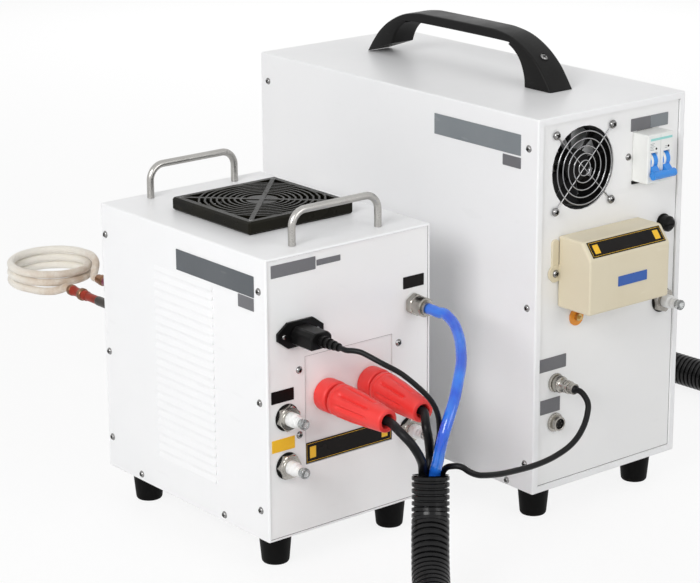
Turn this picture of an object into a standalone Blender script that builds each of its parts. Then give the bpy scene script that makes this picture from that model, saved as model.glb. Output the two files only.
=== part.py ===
"""Split induction heater: a power unit, a work head with its water-cooled coil,
and the umbilical that joins them. Metres, +Z up, connector panels facing -Y."""
import math

import bmesh
import bpy
from mathutils import Matrix, Quaternion, Vector

MM = 0.001

# Driving dimensions
UNIT_WIDTH = 220.5 * MM
UNIT_LENGTH = 476.8 * MM
UNIT_HEIGHT = 417 * MM
HEAD_WIDTH = 218.7 * MM
HEAD_LENGTH = 296 * MM
HEAD_HEIGHT = 305.2 * MM
SPACE_BETWEEN = 81.1 * MM
HEAD_SETBACK = 76.9 * MM
FOOT_HEIGHT = 37 * MM

# Fits shared by all the pieces
CLEARANCE = 0.3 * MM
OVERRUN = 2 * MM
SINK = 0.6 * MM
WELD = 0.01 * MM

# Sheet metal cabinets
SHEET_EDGE = 1.6 * MM
UNIT_RIM = 7.6 * MM
UNIT_PANEL_INSET = 2.5 * MM
HEAD_RIM = 2.4 * MM
HEAD_PANEL_INSET = 1.2 * MM
PANEL_THICKNESS = 2 * MM
LOUVRE_DEPTH = 2.2 * MM

# Sizes that set how far the part reaches
COVER_REACH = 46.5 * MM
COIL_RADIUS = 47 * MM
COIL_TUBE = 9.4 * MM
COIL_REACH = 282 * MM

# The world origin lies on the floor under the middle of the cabinets and the coil
UNIT_X = -(UNIT_WIDTH - SPACE_BETWEEN - HEAD_WIDTH - LOUVRE_DEPTH) / 2
UNIT_Y = -(HEAD_SETBACK + HEAD_LENGTH + COIL_REACH + COIL_RADIUS + COIL_TUBE / 2 - COVER_REACH) / 2
UNIT_CORNER = Vector((UNIT_X, UNIT_Y, FOOT_HEIGHT))
HEAD_CORNER = UNIT_CORNER + Vector((-SPACE_BETWEEN - HEAD_WIDTH, HEAD_SETBACK, 0))
UNIT_FAR = UNIT_CORNER + Vector((UNIT_WIDTH, UNIT_LENGTH, UNIT_HEIGHT))
HEAD_FAR = HEAD_CORNER + Vector((HEAD_WIDTH, HEAD_LENGTH, HEAD_HEIGHT))

LEFT, RIGHT = Vector((-1, 0, 0)), Vector((1, 0, 0))
NEAR, FAR = Vector((0, -1, 0)), Vector((0, 1, 0))
DOWN, UP = Vector((0, 0, -1)), Vector((0, 0, 1))

for old in list(bpy.data.objects):
    bpy.data.objects.remove(old, do_unlink=True)


def new_collection(name):
    group = bpy.data.collections.new(name)
    bpy.context.scene.collection.children.link(group)
    return group


PARTS = new_collection("induction_heater")
CUTTERS = new_collection("cutters")


def finish(name, colour, roughness, metallic=0.0):
    """A plain surface of one colour."""
    surface = bpy.data.materials.new(name)
    surface.use_nodes = True
    shader = surface.node_tree.nodes["Principled BSDF"]
    shader.inputs["Base Color"].default_value = (*colour, 1.0)
    shader.inputs["Roughness"].default_value = roughness
    shader.inputs["Metallic"].default_value = metallic
    return surface


CASE_WHITE = finish("case_white", (0.86, 0.87, 0.88), 0.45)
PANEL_WHITE = finish("panel_white", (0.88, 0.88, 0.87), 0.4)
BLACK_PLASTIC = finish("black_plastic", (0.02, 0.02, 0.022), 0.5)
BLACK_RUBBER = finish("black_rubber", (0.015, 0.015, 0.015), 0.75)
CHROME = finish("chrome", (0.8, 0.8, 0.82), 0.15, 1.0)
STEEL = finish("steel", (0.62, 0.62, 0.64), 0.3, 1.0)
COPPER = finish("copper", (0.62, 0.24, 0.16), 0.35, 1.0)
RED_RUBBER = finish("red_rubber", (0.85, 0.06, 0.06), 0.45)
BEIGE_PLASTIC = finish("beige_plastic", (0.82, 0.77, 0.66), 0.5)
PALE_PLASTIC = finish("pale_plastic", (0.85, 0.85, 0.82), 0.4)
BLUE_PLASTIC = finish("blue_plastic", (0.05, 0.3, 0.75), 0.4)
BLUE_TUBE = finish("blue_tube", (0.05, 0.15, 0.7), 0.2)
ORANGE_PLASTIC = finish("orange_plastic", (0.8, 0.35, 0.03), 0.5)
CREAM_SLEEVE = finish("cream_sleeve", (0.9, 0.88, 0.8), 0.85)
GREEN_PLASTIC = finish("green_plastic", (0.05, 0.45, 0.15), 0.4)


def turn_to(axis):
    """The rotation that takes +Z to an axis."""
    return Vector(axis).to_track_quat("Z", "Y") if abs(axis[2]) < 1 else (
        Quaternion() if axis[2] > 0 else Quaternion((0, 1, 0, 0)))


def add(name, mesh, where, turn=None, group=None):
    piece = bpy.data.objects.new(name, mesh)
    piece.location = where
    piece.rotation_mode = "QUATERNION"
    piece.rotation_quaternion = turn or Quaternion()
    (group or PARTS).objects.link(piece)
    return piece


def dress(piece, surface, sharp=35):
    """Give a piece its one material, and smooth its round faces up to an angle in degrees."""
    if sharp and piece.type == "MESH" and len(piece.data.polygons):
        piece.data.shade_smooth()
        piece.data.set_sharp_from_angle(angle=math.radians(sharp))
    piece.data.materials.clear()
    piece.data.materials.append(surface)
    return piece


def box(name, low, high):
    low, high = Vector(low), Vector(high)
    mesh = bpy.data.meshes.new(name)
    form = bmesh.new()
    bmesh.ops.create_cube(form, size=1)
    bmesh.ops.scale(form, vec=high - low, verts=form.verts)
    form.to_mesh(mesh)
    form.free()
    return add(name, mesh, (low + high) / 2)


def cylinder(name, base, axis, length, radius, sides, far_radius=None):
    """A closed cylinder or cone that starts at base and runs along axis."""
    mesh = bpy.data.meshes.new(name)
    form = bmesh.new()
    bmesh.ops.create_cone(form, cap_ends=True, segments=sides, radius1=radius,
                          radius2=radius if far_radius is None else far_radius, depth=length)
    form.to_mesh(mesh)
    form.free()
    return add(name, mesh, Vector(base) + Vector(axis) * length / 2, turn_to(axis))


def ring(name, centre, axis, radius, wire, steps, sides):
    bpy.ops.mesh.primitive_torus_add(major_radius=radius, minor_radius=wire,
                                     major_segments=steps, minor_segments=sides)
    piece = bpy.context.object
    mesh = piece.data
    bpy.data.objects.remove(piece)
    return add(name, mesh, centre, turn_to(axis))


def turned(name, profile, base, axis, steps):
    """A turned piece: (radius, height) pairs run down the outer side, top to bottom."""
    mesh = bpy.data.meshes.new(name)
    mesh.from_pydata([(radius, 0, height) for radius, height in profile],
                     [(i, i + 1) for i in range(len(profile) - 1)], [])
    piece = add(name, mesh, base, turn_to(axis))
    screw = piece.modifiers.new("turn", "SCREW")
    screw.steps = screw.render_steps = steps
    screw.use_merge_vertices = True
    screw.merge_threshold = WELD
    return as_mesh(piece)


def as_mesh(piece):
    """The evaluated shape as a plain mesh, with a curve's caps welded on."""
    bpy.context.view_layer.update()
    seen = piece.evaluated_get(bpy.context.evaluated_depsgraph_get())
    mesh = bpy.data.meshes.new_from_object(seen)
    form = bmesh.new()
    form.from_mesh(mesh)
    bmesh.ops.remove_doubles(form, verts=form.verts, dist=WELD)
    form.to_mesh(mesh)
    form.free()
    solid = bpy.data.objects.new(piece.name + "_solid", mesh)
    piece.users_collection[0].objects.link(solid)
    solid.matrix_world = piece.matrix_world
    name = piece.name
    bpy.data.objects.remove(piece, do_unlink=True)
    solid.name = name
    return solid


def plate(name, outlines, thickness, base, across, up):
    """A flat plate: its outlines, the outer one first, are (across, up) pairs from base,
    and its thickness grows towards across x up."""
    curve = bpy.data.curves.new(name, "CURVE")
    curve.dimensions = "2D"
    curve.fill_mode = "BOTH"
    curve.extrude = thickness / 2
    for outline in outlines:
        spline = curve.splines.new("POLY")
        spline.points.add(len(outline) - 1)
        for point, (u, v) in zip(spline.points, outline):
            point.co = (u, v, 0, 1)
        spline.use_cyclic_u = True
    normal = Vector(across).cross(Vector(up))
    piece = bpy.data.objects.new(name, curve)
    frame = Matrix((across, up, normal)).transposed().to_4x4()
    frame.translation = Vector(base) + normal * thickness / 2
    piece.matrix_world = frame
    PARTS.objects.link(piece)
    return as_mesh(piece)


def rectangle(low, high):
    return [(low[0], low[1]), (high[0], low[1]), (high[0], high[1]), (low[0], high[1])]


def arc(centre, radius, start, end, count):
    """Points of an arc, its angles in degrees."""
    turns = [math.radians(start + (end - start) * i / count) for i in range(count + 1)]
    return [(centre[0] + radius * math.cos(t), centre[1] + radius * math.sin(t)) for t in turns]


def circle(radius, count):
    """Points round a circle about zero."""
    turns = [math.tau * i / count for i in range(count)]
    return [(radius * math.cos(t), radius * math.sin(t)) for t in turns]


def round_rectangle(low, high, radius, count=3):
    (x0, y0), (x1, y1) = low, high
    return (arc((x1 - radius, y0 + radius), radius, -90, 0, count)
            + arc((x1 - radius, y1 - radius), radius, 0, 90, count)
            + arc((x0 + radius, y1 - radius), radius, 90, 180, count)
            + arc((x0 + radius, y0 + radius), radius, 180, 270, count))


def tube(name, points, radius, resolution=2, shares=None):
    """A round tube along points. Shares give each point its part of the radius."""
    curve = bpy.data.curves.new(name, "CURVE")
    curve.dimensions = "3D"
    curve.bevel_depth = radius
    curve.bevel_resolution = resolution
    curve.use_fill_caps = True
    spline = curve.splines.new("POLY")
    spline.points.add(len(points) - 1)
    for i, place in enumerate(points):
        spline.points[i].co = (*place, 1)
        spline.points[i].radius = shares[i] if shares else 1
    piece = bpy.data.objects.new(name, curve)
    PARTS.objects.link(piece)
    return as_mesh(piece)


def smooth_line(points, spacing):
    """Evenly spaced points of a smooth curve through the chosen points."""
    chosen = [Vector(p) for p in points]
    chosen = [2 * chosen[0] - chosen[1], *chosen, 2 * chosen[-1] - chosen[-2]]
    fine = []
    pieces = 24
    for a, b, c, d in zip(chosen, chosen[1:], chosen[2:], chosen[3:]):
        for i in range(pieces):
            t = i / pieces
            fine.append((2 * b + (c - a) * t + (2 * a - 5 * b + 4 * c - d) * t ** 2
                         + (3 * b - a - 3 * c + d) * t ** 3) / 2)
    fine.append(chosen[-2])
    lengths = [0.0]
    for p, q in zip(fine, fine[1:]):
        lengths.append(lengths[-1] + (q - p).length)
    count = max(2, round(lengths[-1] / spacing))
    line = []
    i = 0
    for k in range(count + 1):
        wanted = lengths[-1] * k / count
        while i < len(fine) - 2 and lengths[i + 1] < wanted:
            i += 1
        share = (wanted - lengths[i]) / (lengths[i + 1] - lengths[i])
        line.append(fine[i].lerp(fine[i + 1], min(1, share)))
    return line


def put_away(piece):
    """Keep a piece as a guide for a Boolean, out of the model."""
    for group in list(piece.users_collection):
        group.objects.unlink(piece)
    CUTTERS.objects.link(piece)
    piece.hide_render = True
    piece.display_type = "WIRE"
    return piece


def shape(piece, others, operation):
    for other in others:
        change = piece.modifiers.new(operation.lower(), "BOOLEAN")
        change.operation = operation
        change.object = put_away(other)
    return piece


def cut(piece, *others):
    return shape(piece, others, "DIFFERENCE")


def fuse(piece, *others):
    return shape(piece, others, "UNION")


def soften(piece, width, segments=2, limit=40):
    bevel = piece.modifiers.new("soft_edges", "BEVEL")
    bevel.width = width
    bevel.segments = segments
    bevel.limit_method = "ANGLE"
    bevel.angle_limit = math.radians(limit)
    return piece


def group_of(name, pieces, surface):
    """One object that holds several separate solids."""
    bpy.context.view_layer.update()
    graph = bpy.context.evaluated_depsgraph_get()
    form = bmesh.new()
    for piece in pieces:
        mesh = bpy.data.meshes.new_from_object(piece.evaluated_get(graph))
        mesh.transform(piece.matrix_world)
        form.from_mesh(mesh)
        bpy.data.meshes.remove(mesh)
    middle = sum((v.co for v in form.verts), Vector()) / len(form.verts)
    bmesh.ops.translate(form, vec=-middle, verts=form.verts)
    mesh = bpy.data.meshes.new(name)
    form.to_mesh(mesh)
    form.free()
    for piece in pieces:
        bpy.data.objects.remove(piece, do_unlink=True)
    return dress(add(name, mesh, middle), surface)


def on_unit(across, depth, height):
    """A place on the power unit, from its near left bottom corner."""
    return UNIT_CORNER + Vector((across, depth, height))


def on_head(across, depth, height):
    """A place on the work head, from its near left bottom corner."""
    return HEAD_CORNER + Vector((across, depth, height))


# Axial fans: a square frame, a motor on struts, and a bladed rotor on its shaft
FAN_DEPTH = 25 * MM
FAN_WALL = 2.4 * MM
FAN_STRUT = 4 * MM
FAN_STRUT_DEPTH = 3 * MM
FAN_MOTOR_RADIUS = 17 * MM
FAN_SHAFT_RADIUS = 2.5 * MM
FAN_SHAFT_LENGTH = 9 * MM
FAN_HUB_DEPTH = 15 * MM
FAN_BLADE = 1.4 * MM
FAN_TIP_GAP = 1.2 * MM
FAN_BLADES = 7
FAN_STRUTS = 3
FAN_BORE_STEPS = 24
BLADE_STATIONS = 3
BLADE_ROOT_PITCH = 48
BLADE_TIP_PITCH = 28
BLADE_CHORD_SHARE = 0.62


def fan_frame(name, face, axis, across, up, size):
    """A fan's frame. Its open side lies in face, and axis points out of it."""
    half = size / 2
    bore = half - FAN_WALL
    back = face - axis * FAN_DEPTH
    frame = plate(name, [rectangle((-half, -half), (half, half)), circle(bore, FAN_BORE_STEPS)],
                  FAN_DEPTH, back, across, up)
    spider = []
    for i in range(FAN_STRUTS):
        turn = math.radians(360 * i / FAN_STRUTS)
        ray = across * math.cos(turn) + up * math.sin(turn)
        side = across * -math.sin(turn) + up * math.cos(turn)
        strut = plate("strut", [rectangle((0, -FAN_STRUT / 2), (bore + SINK, FAN_STRUT / 2))],
                      FAN_STRUT_DEPTH, back, ray, side)
        spider.append(strut)
    motor = cylinder("motor", back, axis, FAN_STRUT_DEPTH + SINK, FAN_MOTOR_RADIUS, 20)
    shaft = cylinder("shaft", back, axis, FAN_STRUT_DEPTH + FAN_SHAFT_LENGTH, FAN_SHAFT_RADIUS, 10)
    fuse(frame, *spider, motor, shaft)
    return dress(frame, BLACK_PLASTIC)


def fan_rotor(name, face, axis, across, up, size):
    """The rotor that turns on a fan frame's shaft."""
    seat = face - axis * (FAN_DEPTH - FAN_STRUT_DEPTH - SINK - CLEARANCE * 2)
    hub_radius = FAN_MOTOR_RADIUS + SINK
    tip = size / 2 - FAN_WALL - FAN_TIP_GAP
    hub = turned(name, [(0, FAN_HUB_DEPTH), (hub_radius - FAN_BLADE, FAN_HUB_DEPTH),
                        (hub_radius, FAN_HUB_DEPTH - FAN_BLADE), (hub_radius, 0),
                        (FAN_SHAFT_RADIUS + CLEARANCE * 2, 0),
                        (FAN_SHAFT_RADIUS + CLEARANCE * 2, FAN_SHAFT_LENGTH),
                        (0, FAN_SHAFT_LENGTH)], seat, axis, 24)
    mesh = bpy.data.meshes.new("blades")
    form = bmesh.new()
    for i in range(FAN_BLADES):
        rows = []
        for k in range(BLADE_STATIONS):
            share = k / (BLADE_STATIONS - 1)
            radius = hub_radius - SINK * 2 + (tip - hub_radius + SINK * 2) * share
            pitch = math.radians(BLADE_ROOT_PITCH + (BLADE_TIP_PITCH - BLADE_ROOT_PITCH) * share)
            chord = (hub_radius + (tip - hub_radius) * share) * BLADE_CHORD_SHARE
            chord = min(chord, (FAN_HUB_DEPTH - 2 * FAN_BLADE) / math.sin(pitch))
            row = []
            for s in range(BLADE_STATIONS):
                step = chord * (s / (BLADE_STATIONS - 1) - 1 / 2)
                angle = math.tau * i / FAN_BLADES + step * math.cos(pitch) / radius
                rise = FAN_HUB_DEPTH / 2 + step * math.sin(pitch)
                row.append(form.verts.new((radius * math.cos(angle), radius * math.sin(angle), rise)))
            rows.append(row)
        for low, high in zip(rows, rows[1:]):
            for a, b, c, d in zip(low, low[1:], high[1:], high):
                form.faces.new((a, b, c, d))
    form.to_mesh(mesh)
    form.free()
    blades = add("blades", mesh, seat, turn_to(axis))
    thick = blades.modifiers.new("thickness", "SOLIDIFY")
    thick.thickness = FAN_BLADE
    thick.offset = 0
    fuse(hub, blades)
    return dress(hub, BLACK_PLASTIC)


# Power unit: folded case with a recessed panel at each end
UNIT_FAN_SIZE = 92 * MM
UNIT_FAN_OPENING = 45.5 * MM
UNIT_FAN_ACROSS = 68.5 * MM
UNIT_FAN_UP = 355 * MM
POCKET_GAP = 0.5 * MM
BREAKER_WIDTH = 39 * MM
BREAKER_HEIGHT = 54 * MM
BREAKER_DEPTH = 22.5 * MM
BREAKER_BEHIND = 8 * MM
BREAKER_ACROSS = 162.5 * MM
BREAKER_UP = 355 * MM
GLAND_ACROSS = 150 * MM
GLAND_UP = 62 * MM
BUTTON_RADIUS = 8 * MM
BUTTON_BEHIND = 7 * MM
BUTTON_TRAVEL = 3 * MM
KNOB_UP = 245 * MM
BUTTON_DROP = 55 * MM
BUTTON_UP = KNOB_UP - BUTTON_DROP
BUTTONS_ACROSS_SHARES = (0.32, 0.68)


def recess(name, corner, far, rim, depth, near):
    """The cutter for the recess that a panel sits in, at the near or the far end."""
    y = corner.y - OVERRUN if near else far.y - depth
    end = corner.y + depth if near else far.y + OVERRUN
    return box(name, (corner.x + rim, y, corner.z + rim), (far.x - rim, end, far.z - rim))


def fan_pocket(face, axis, size):
    """The square hole that a fan frame drops into, cut from its face inwards."""
    half = size / 2 + POCKET_GAP
    along = Vector(abs(c) for c in axis)
    flat = (Vector((1, 1, 1)) - along) * half
    inner = face - axis * (FAN_DEPTH + POCKET_GAP)
    outer = face + axis * OVERRUN
    low = Vector(map(min, inner, outer)) - flat
    high = Vector(map(max, inner, outer)) + flat
    return box("fan_pocket", low, high)


def unit_case():
    depth = UNIT_PANEL_INSET + PANEL_THICKNESS
    case = soften(box("unit_case", UNIT_CORNER, UNIT_FAR), SHEET_EDGE)
    fan_face = on_unit(UNIT_FAN_ACROSS, depth, UNIT_FAN_UP)
    breaker = box("breaker_pocket",
                  on_unit(BREAKER_ACROSS - BREAKER_WIDTH / 2 - POCKET_GAP, depth - OVERRUN,
                          BREAKER_UP - BREAKER_HEIGHT / 2 - POCKET_GAP),
                  on_unit(BREAKER_ACROSS + BREAKER_WIDTH / 2 + POCKET_GAP,
                          UNIT_PANEL_INSET + BREAKER_BEHIND + POCKET_GAP,
                          BREAKER_UP + BREAKER_HEIGHT / 2 + POCKET_GAP))
    pockets = [cylinder("button_pocket",
                        on_unit(UNIT_WIDTH * share, UNIT_LENGTH - depth + OVERRUN, BUTTON_UP),
                        NEAR, BUTTON_BEHIND + BUTTON_TRAVEL + OVERRUN, BUTTON_RADIUS + POCKET_GAP, 16)
               for share in BUTTONS_ACROSS_SHARES]
    shafts = [cylinder("knob_pocket", on_unit(UNIT_WIDTH * share, UNIT_LENGTH - depth + OVERRUN, KNOB_UP),
                       NEAR, KNOB_SHAFT_BEHIND + OVERRUN, KNOB_SHAFT_RADIUS + POCKET_GAP, 12)
              for share in KNOBS_ACROSS_SHARES]
    cut(case, recess("near_recess", UNIT_CORNER, UNIT_FAR, UNIT_RIM, depth, True),
        recess("far_recess", UNIT_CORNER, UNIT_FAR, UNIT_RIM, depth, False),
        fan_pocket(fan_face, NEAR, UNIT_FAN_SIZE), breaker, *pockets, *shafts)
    return dress(case, CASE_WHITE, 0)


def end_panel(name, corner, far, rim, inset, near, windows):
    """A panel in its recess, with windows cut through it."""
    edge = rim + CLEARANCE
    face = corner.y + inset if near else far.y - inset
    back = face + (PANEL_THICKNESS - CLEARANCE) * (1 if near else -1)
    panel = box(name, (corner.x + edge, min(face, back), corner.z + edge),
                (far.x - edge, max(face, back), far.z - edge))
    if windows:
        cut(panel, *windows)
    return dress(panel, PANEL_WHITE)


def unit_panels():
    fan_hole = cylinder("fan_hole", on_unit(UNIT_FAN_ACROSS, -OVERRUN, UNIT_FAN_UP), FAR,
                        PANEL_THICKNESS + UNIT_PANEL_INSET + OVERRUN * 2, UNIT_FAN_OPENING, 32)
    breaker_hole = box("breaker_hole",
                       on_unit(BREAKER_ACROSS - BREAKER_WIDTH / 2 - CLEARANCE, -OVERRUN,
                               BREAKER_UP - BREAKER_HEIGHT / 2 - CLEARANCE),
                       on_unit(BREAKER_ACROSS + BREAKER_WIDTH / 2 + CLEARANCE,
                               PANEL_THICKNESS + UNIT_PANEL_INSET + OVERRUN,
                               BREAKER_UP + BREAKER_HEIGHT / 2 + CLEARANCE))
    end_panel("unit_connector_panel", UNIT_CORNER, UNIT_FAR, UNIT_RIM, UNIT_PANEL_INSET, True,
              [fan_hole, breaker_hole])
    start = UNIT_LENGTH + OVERRUN
    length = PANEL_THICKNESS + UNIT_PANEL_INSET + OVERRUN * 2
    holes = [cylinder("button_hole", on_unit(UNIT_WIDTH * share, start, BUTTON_UP), NEAR, length,
                      BUTTON_RADIUS + CLEARANCE, 16) for share in BUTTONS_ACROSS_SHARES]
    holes += [cylinder("knob_hole", on_unit(UNIT_WIDTH * share, start, KNOB_UP), NEAR, length,
                       KNOB_SHAFT_RADIUS + CLEARANCE, 12) for share in KNOBS_ACROSS_SHARES]
    end_panel("unit_control_panel", UNIT_CORNER, UNIT_FAR, UNIT_RIM, UNIT_PANEL_INSET, False, holes)


# Finger guard of chromed wire, held by four screws
GUARD_WIRE = 0.9 * MM
GUARD_RING_SHARES = (0.2, 0.38, 0.57, 0.76, 0.95)
GUARD_RING_RADIUS = 42 * MM
GUARD_RING_STEPS = (10, 14, 18, 22, 26)
GUARD_SCREW_SPACING = 82.5 * MM
GUARD_EYE = 3.6 * MM
GUARD_ARM_SHARE = 0.06


def guard_corners():
    half = GUARD_SCREW_SPACING / 2
    return [on_unit(UNIT_FAN_ACROSS + half * i, UNIT_PANEL_INSET, UNIT_FAN_UP + half * k)
            for i, k in ((-1, -1), (1, -1), (1, 1), (-1, 1))]


def unit_fan():
    depth = UNIT_PANEL_INSET + PANEL_THICKNESS
    face = on_unit(UNIT_FAN_ACROSS, depth, UNIT_FAN_UP)
    fan_frame("unit_fan_frame", face, NEAR, RIGHT, UP, UNIT_FAN_SIZE)
    fan_rotor("unit_fan_rotor", face, NEAR, RIGHT, UP, UNIT_FAN_SIZE)
    lift = NEAR * (GUARD_WIRE + CLEARANCE)
    middle = on_unit(UNIT_FAN_ACROSS, UNIT_PANEL_INSET, UNIT_FAN_UP) + lift
    corners = [c + lift for c in guard_corners()]
    guard = tube("unit_fan_guard",
                 [corners[0].lerp(middle, GUARD_ARM_SHARE), corners[2].lerp(middle, GUARD_ARM_SHARE)],
                 GUARD_WIRE, 1)
    other = tube("arm", [corners[1].lerp(middle, GUARD_ARM_SHARE), corners[3].lerp(middle, GUARD_ARM_SHARE)],
                 GUARD_WIRE, 1)
    rings = [ring("guard_ring", middle + NEAR * GUARD_WIRE, NEAR, GUARD_RING_RADIUS * share,
                  GUARD_WIRE, steps, 6)
             for share, steps in zip(GUARD_RING_SHARES, GUARD_RING_STEPS)]
    eyes = [ring("guard_eye", c, NEAR, GUARD_EYE, GUARD_WIRE, 10, 6) for c in corners]
    fuse(guard, other, *rings, *eyes)
    dress(guard, CHROME)


# Two-pole breaker with one linked toggle
LEVER_PIVOT_OUT = 14 * MM
LEVER_PIVOT_DROP = 3 * MM
LEVER_HUB_RADIUS = 9.6 * MM
LEVER_HUB_WIDTH = 10 * MM
LEVER_POLE_PITCH = 19 * MM
LEVER_BAR_RADIUS = 4.6 * MM
LEVER_BAR_WIDTH = 33 * MM
LEVER_ARM = 19.8 * MM
LEVER_ARM_THICKNESS = 5 * MM
LEVER_REST = 45
LEVER_SLOT_BELOW = 13 * MM
LEVER_SLOT_ABOVE = 10 * MM
LEVER_SLOT_FLOOR = 3 * MM
BREAKER_GROOVE = 0.6 * MM
BREAKER_EDGE = 0.8 * MM


def breaker():
    half_w, half_h = BREAKER_WIDTH / 2, BREAKER_HEIGHT / 2
    out = UNIT_PANEL_INSET - BREAKER_DEPTH
    body = box("breaker_body", on_unit(BREAKER_ACROSS - half_w, out, BREAKER_UP - half_h),
               on_unit(BREAKER_ACROSS + half_w, UNIT_PANEL_INSET + BREAKER_BEHIND, BREAKER_UP + half_h))
    soften(body, BREAKER_EDGE, 1)
    groove = box("pole_groove", on_unit(BREAKER_ACROSS - BREAKER_GROOVE / 2, out - OVERRUN,
                                        BREAKER_UP - half_h - OVERRUN),
                 on_unit(BREAKER_ACROSS + BREAKER_GROOVE / 2, out + BREAKER_GROOVE * 2,
                         BREAKER_UP + half_h + OVERRUN))
    pivot = on_unit(BREAKER_ACROSS, UNIT_PANEL_INSET - LEVER_PIVOT_OUT, BREAKER_UP - LEVER_PIVOT_DROP)
    wells = []
    hubs = []
    arms = []
    rest = math.radians(LEVER_REST)
    out_way = Vector((0, -math.cos(rest), -math.sin(rest)))
    side_way = RIGHT.cross(out_way)
    for side in (-1, 1):
        centre = pivot + RIGHT * (LEVER_POLE_PITCH / 2 * side)
        start = centre - RIGHT * (LEVER_HUB_WIDTH / 2)
        wells.append(cylinder("hub_well", start - RIGHT * CLEARANCE, RIGHT,
                              LEVER_HUB_WIDTH + CLEARANCE * 2, LEVER_HUB_RADIUS + CLEARANCE, 28))
        wells.append(box("lever_slot",
                         Vector((start.x - CLEARANCE, UNIT_CORNER.y + out - OVERRUN,
                                 pivot.z - LEVER_SLOT_BELOW)),
                         Vector((start.x + LEVER_HUB_WIDTH + CLEARANCE, pivot.y - LEVER_SLOT_FLOOR,
                                 pivot.z + LEVER_SLOT_ABOVE))))
        hubs.append(cylinder("lever_hub", start, RIGHT, LEVER_HUB_WIDTH, LEVER_HUB_RADIUS, 28))
        arms.append(plate("lever_arm", [rectangle((0, -LEVER_ARM_THICKNESS / 2),
                                                  (LEVER_ARM, LEVER_ARM_THICKNESS / 2))],
                          LEVER_HUB_WIDTH - SINK, start + RIGHT * (SINK / 2), out_way, side_way))
    cut(body, groove, *wells)
    dress(body, PALE_PLASTIC)
    bar_centre = pivot + out_way * LEVER_ARM
    lever = cylinder("breaker_lever", bar_centre - RIGHT * (LEVER_BAR_WIDTH / 2), RIGHT,
                     LEVER_BAR_WIDTH, LEVER_BAR_RADIUS, 16)
    fuse(lever, *arms, *hubs)
    dress(lever, BLUE_PLASTIC)


# Beige cover over the supply terminals
COVER_LEFT = 34 * MM
COVER_WIDTH = 119.5 * MM
COVER_BOTTOM = 207.5 * MM
COVER_FRONT_TOP = 269 * MM
COVER_TOP = 286.5 * MM
COVER_SLOPE = 14 * MM
COVER_WALL = 2.2 * MM
COVER_EDGE = 2.4 * MM
EAR_RADIUS = 9 * MM
EAR_REACH = 6 * MM
EAR_THICKNESS = 2.6 * MM
EAR_UP = 246 * MM
BLOCK_DEPTH = 26 * MM
BLOCK_HEIGHT = 44 * MM
BLOCK_MARGIN = 8 * MM
BLOCK_RIB = 3 * MM
BLOCK_POLES = 4


def terminal_cover():
    """A hooded shell, open towards the panel, with a round ear at each side."""
    face = UNIT_PANEL_INSET - CLEARANCE
    depth = COVER_REACH + face

    def section(wall):
        back = -OVERRUN if wall else 0
        return [(back, COVER_BOTTOM + wall), (depth - wall, COVER_BOTTOM + wall),
                (depth - wall, COVER_FRONT_TOP - wall / 2),
                (depth - COVER_SLOPE - wall / 2, COVER_TOP - wall), (back, COVER_TOP - wall)]

    start = on_unit(COVER_LEFT + COVER_WIDTH, face, 0)
    cover = plate("terminal_cover", [section(0)], COVER_WIDTH, start, NEAR, UP)
    soften(cover, COVER_EDGE, limit=20)
    inside = plate("cover_inside", [section(COVER_WALL)], COVER_WIDTH - COVER_WALL * 2,
                   start + LEFT * COVER_WALL, NEAR, UP)
    trim = box("cover_trim", on_unit(0, face, 0), on_unit(UNIT_WIDTH, face + COVER_REACH, UNIT_HEIGHT))
    ears = []
    for side in (-1, 1):
        edge = COVER_LEFT if side < 0 else COVER_LEFT + COVER_WIDTH
        ear = arc((EAR_REACH * side, 0), EAR_RADIUS, 90, 270 if side < 0 else -90, 8)
        outline = [(-side * COVER_WALL, -EAR_RADIUS), (-side * COVER_WALL, EAR_RADIUS), *ear]
        ears.append(plate("cover_ear", [outline], EAR_THICKNESS, on_unit(edge, face, EAR_UP), RIGHT, UP))
    cut(cover, inside)
    fuse(cover, *ears)
    cut(cover, trim)
    dress(cover, BEIGE_PLASTIC)
    half = BLOCK_HEIGHT / 2
    middle = (COVER_BOTTOM + COVER_TOP) / 2
    low = COVER_LEFT + BLOCK_MARGIN
    wide = COVER_WIDTH - BLOCK_MARGIN * 2
    block = box("supply_terminals", on_unit(low, face - BLOCK_DEPTH / 2, middle - half),
                on_unit(low + wide, face, middle + half))
    ribs = [box("rib", on_unit(low + (wide - BLOCK_RIB) * i / BLOCK_POLES, face - BLOCK_DEPTH, middle - half),
                on_unit(low + (wide - BLOCK_RIB) * i / BLOCK_POLES + BLOCK_RIB, face - BLOCK_RIB,
                        middle + half - SINK))
            for i in range(BLOCK_POLES + 1)]
    fuse(block, *ribs)
    dress(block, BLACK_PLASTIC)


# Earth stud on its coloured disc
EARTH_ACROSS = 62.5 * MM
EARTH_UP = 191 * MM
EARTH_RADIUS = 10 * MM
EARTH_DISC = 1.5 * MM
EARTH_STUD = 4 * MM
EARTH_STUD_LENGTH = 7 * MM


def earth_terminal():
    place = on_unit(EARTH_ACROSS, UNIT_PANEL_INSET - CLEARANCE, EARTH_UP)
    stud, top = EARTH_STUD / 2, EARTH_DISC + EARTH_STUD_LENGTH
    terminal = turned("earth_terminal", [(0, top), (stud, top), (stud, EARTH_DISC + EARTH_STUD),
                                         (EARTH_STUD, EARTH_DISC + EARTH_STUD), (EARTH_STUD, EARTH_DISC),
                                         (EARTH_RADIUS, EARTH_DISC), (EARTH_RADIUS, 0), (0, 0)],
                      place, NEAR, 20)
    dress(terminal, ORANGE_PLASTIC)


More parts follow.
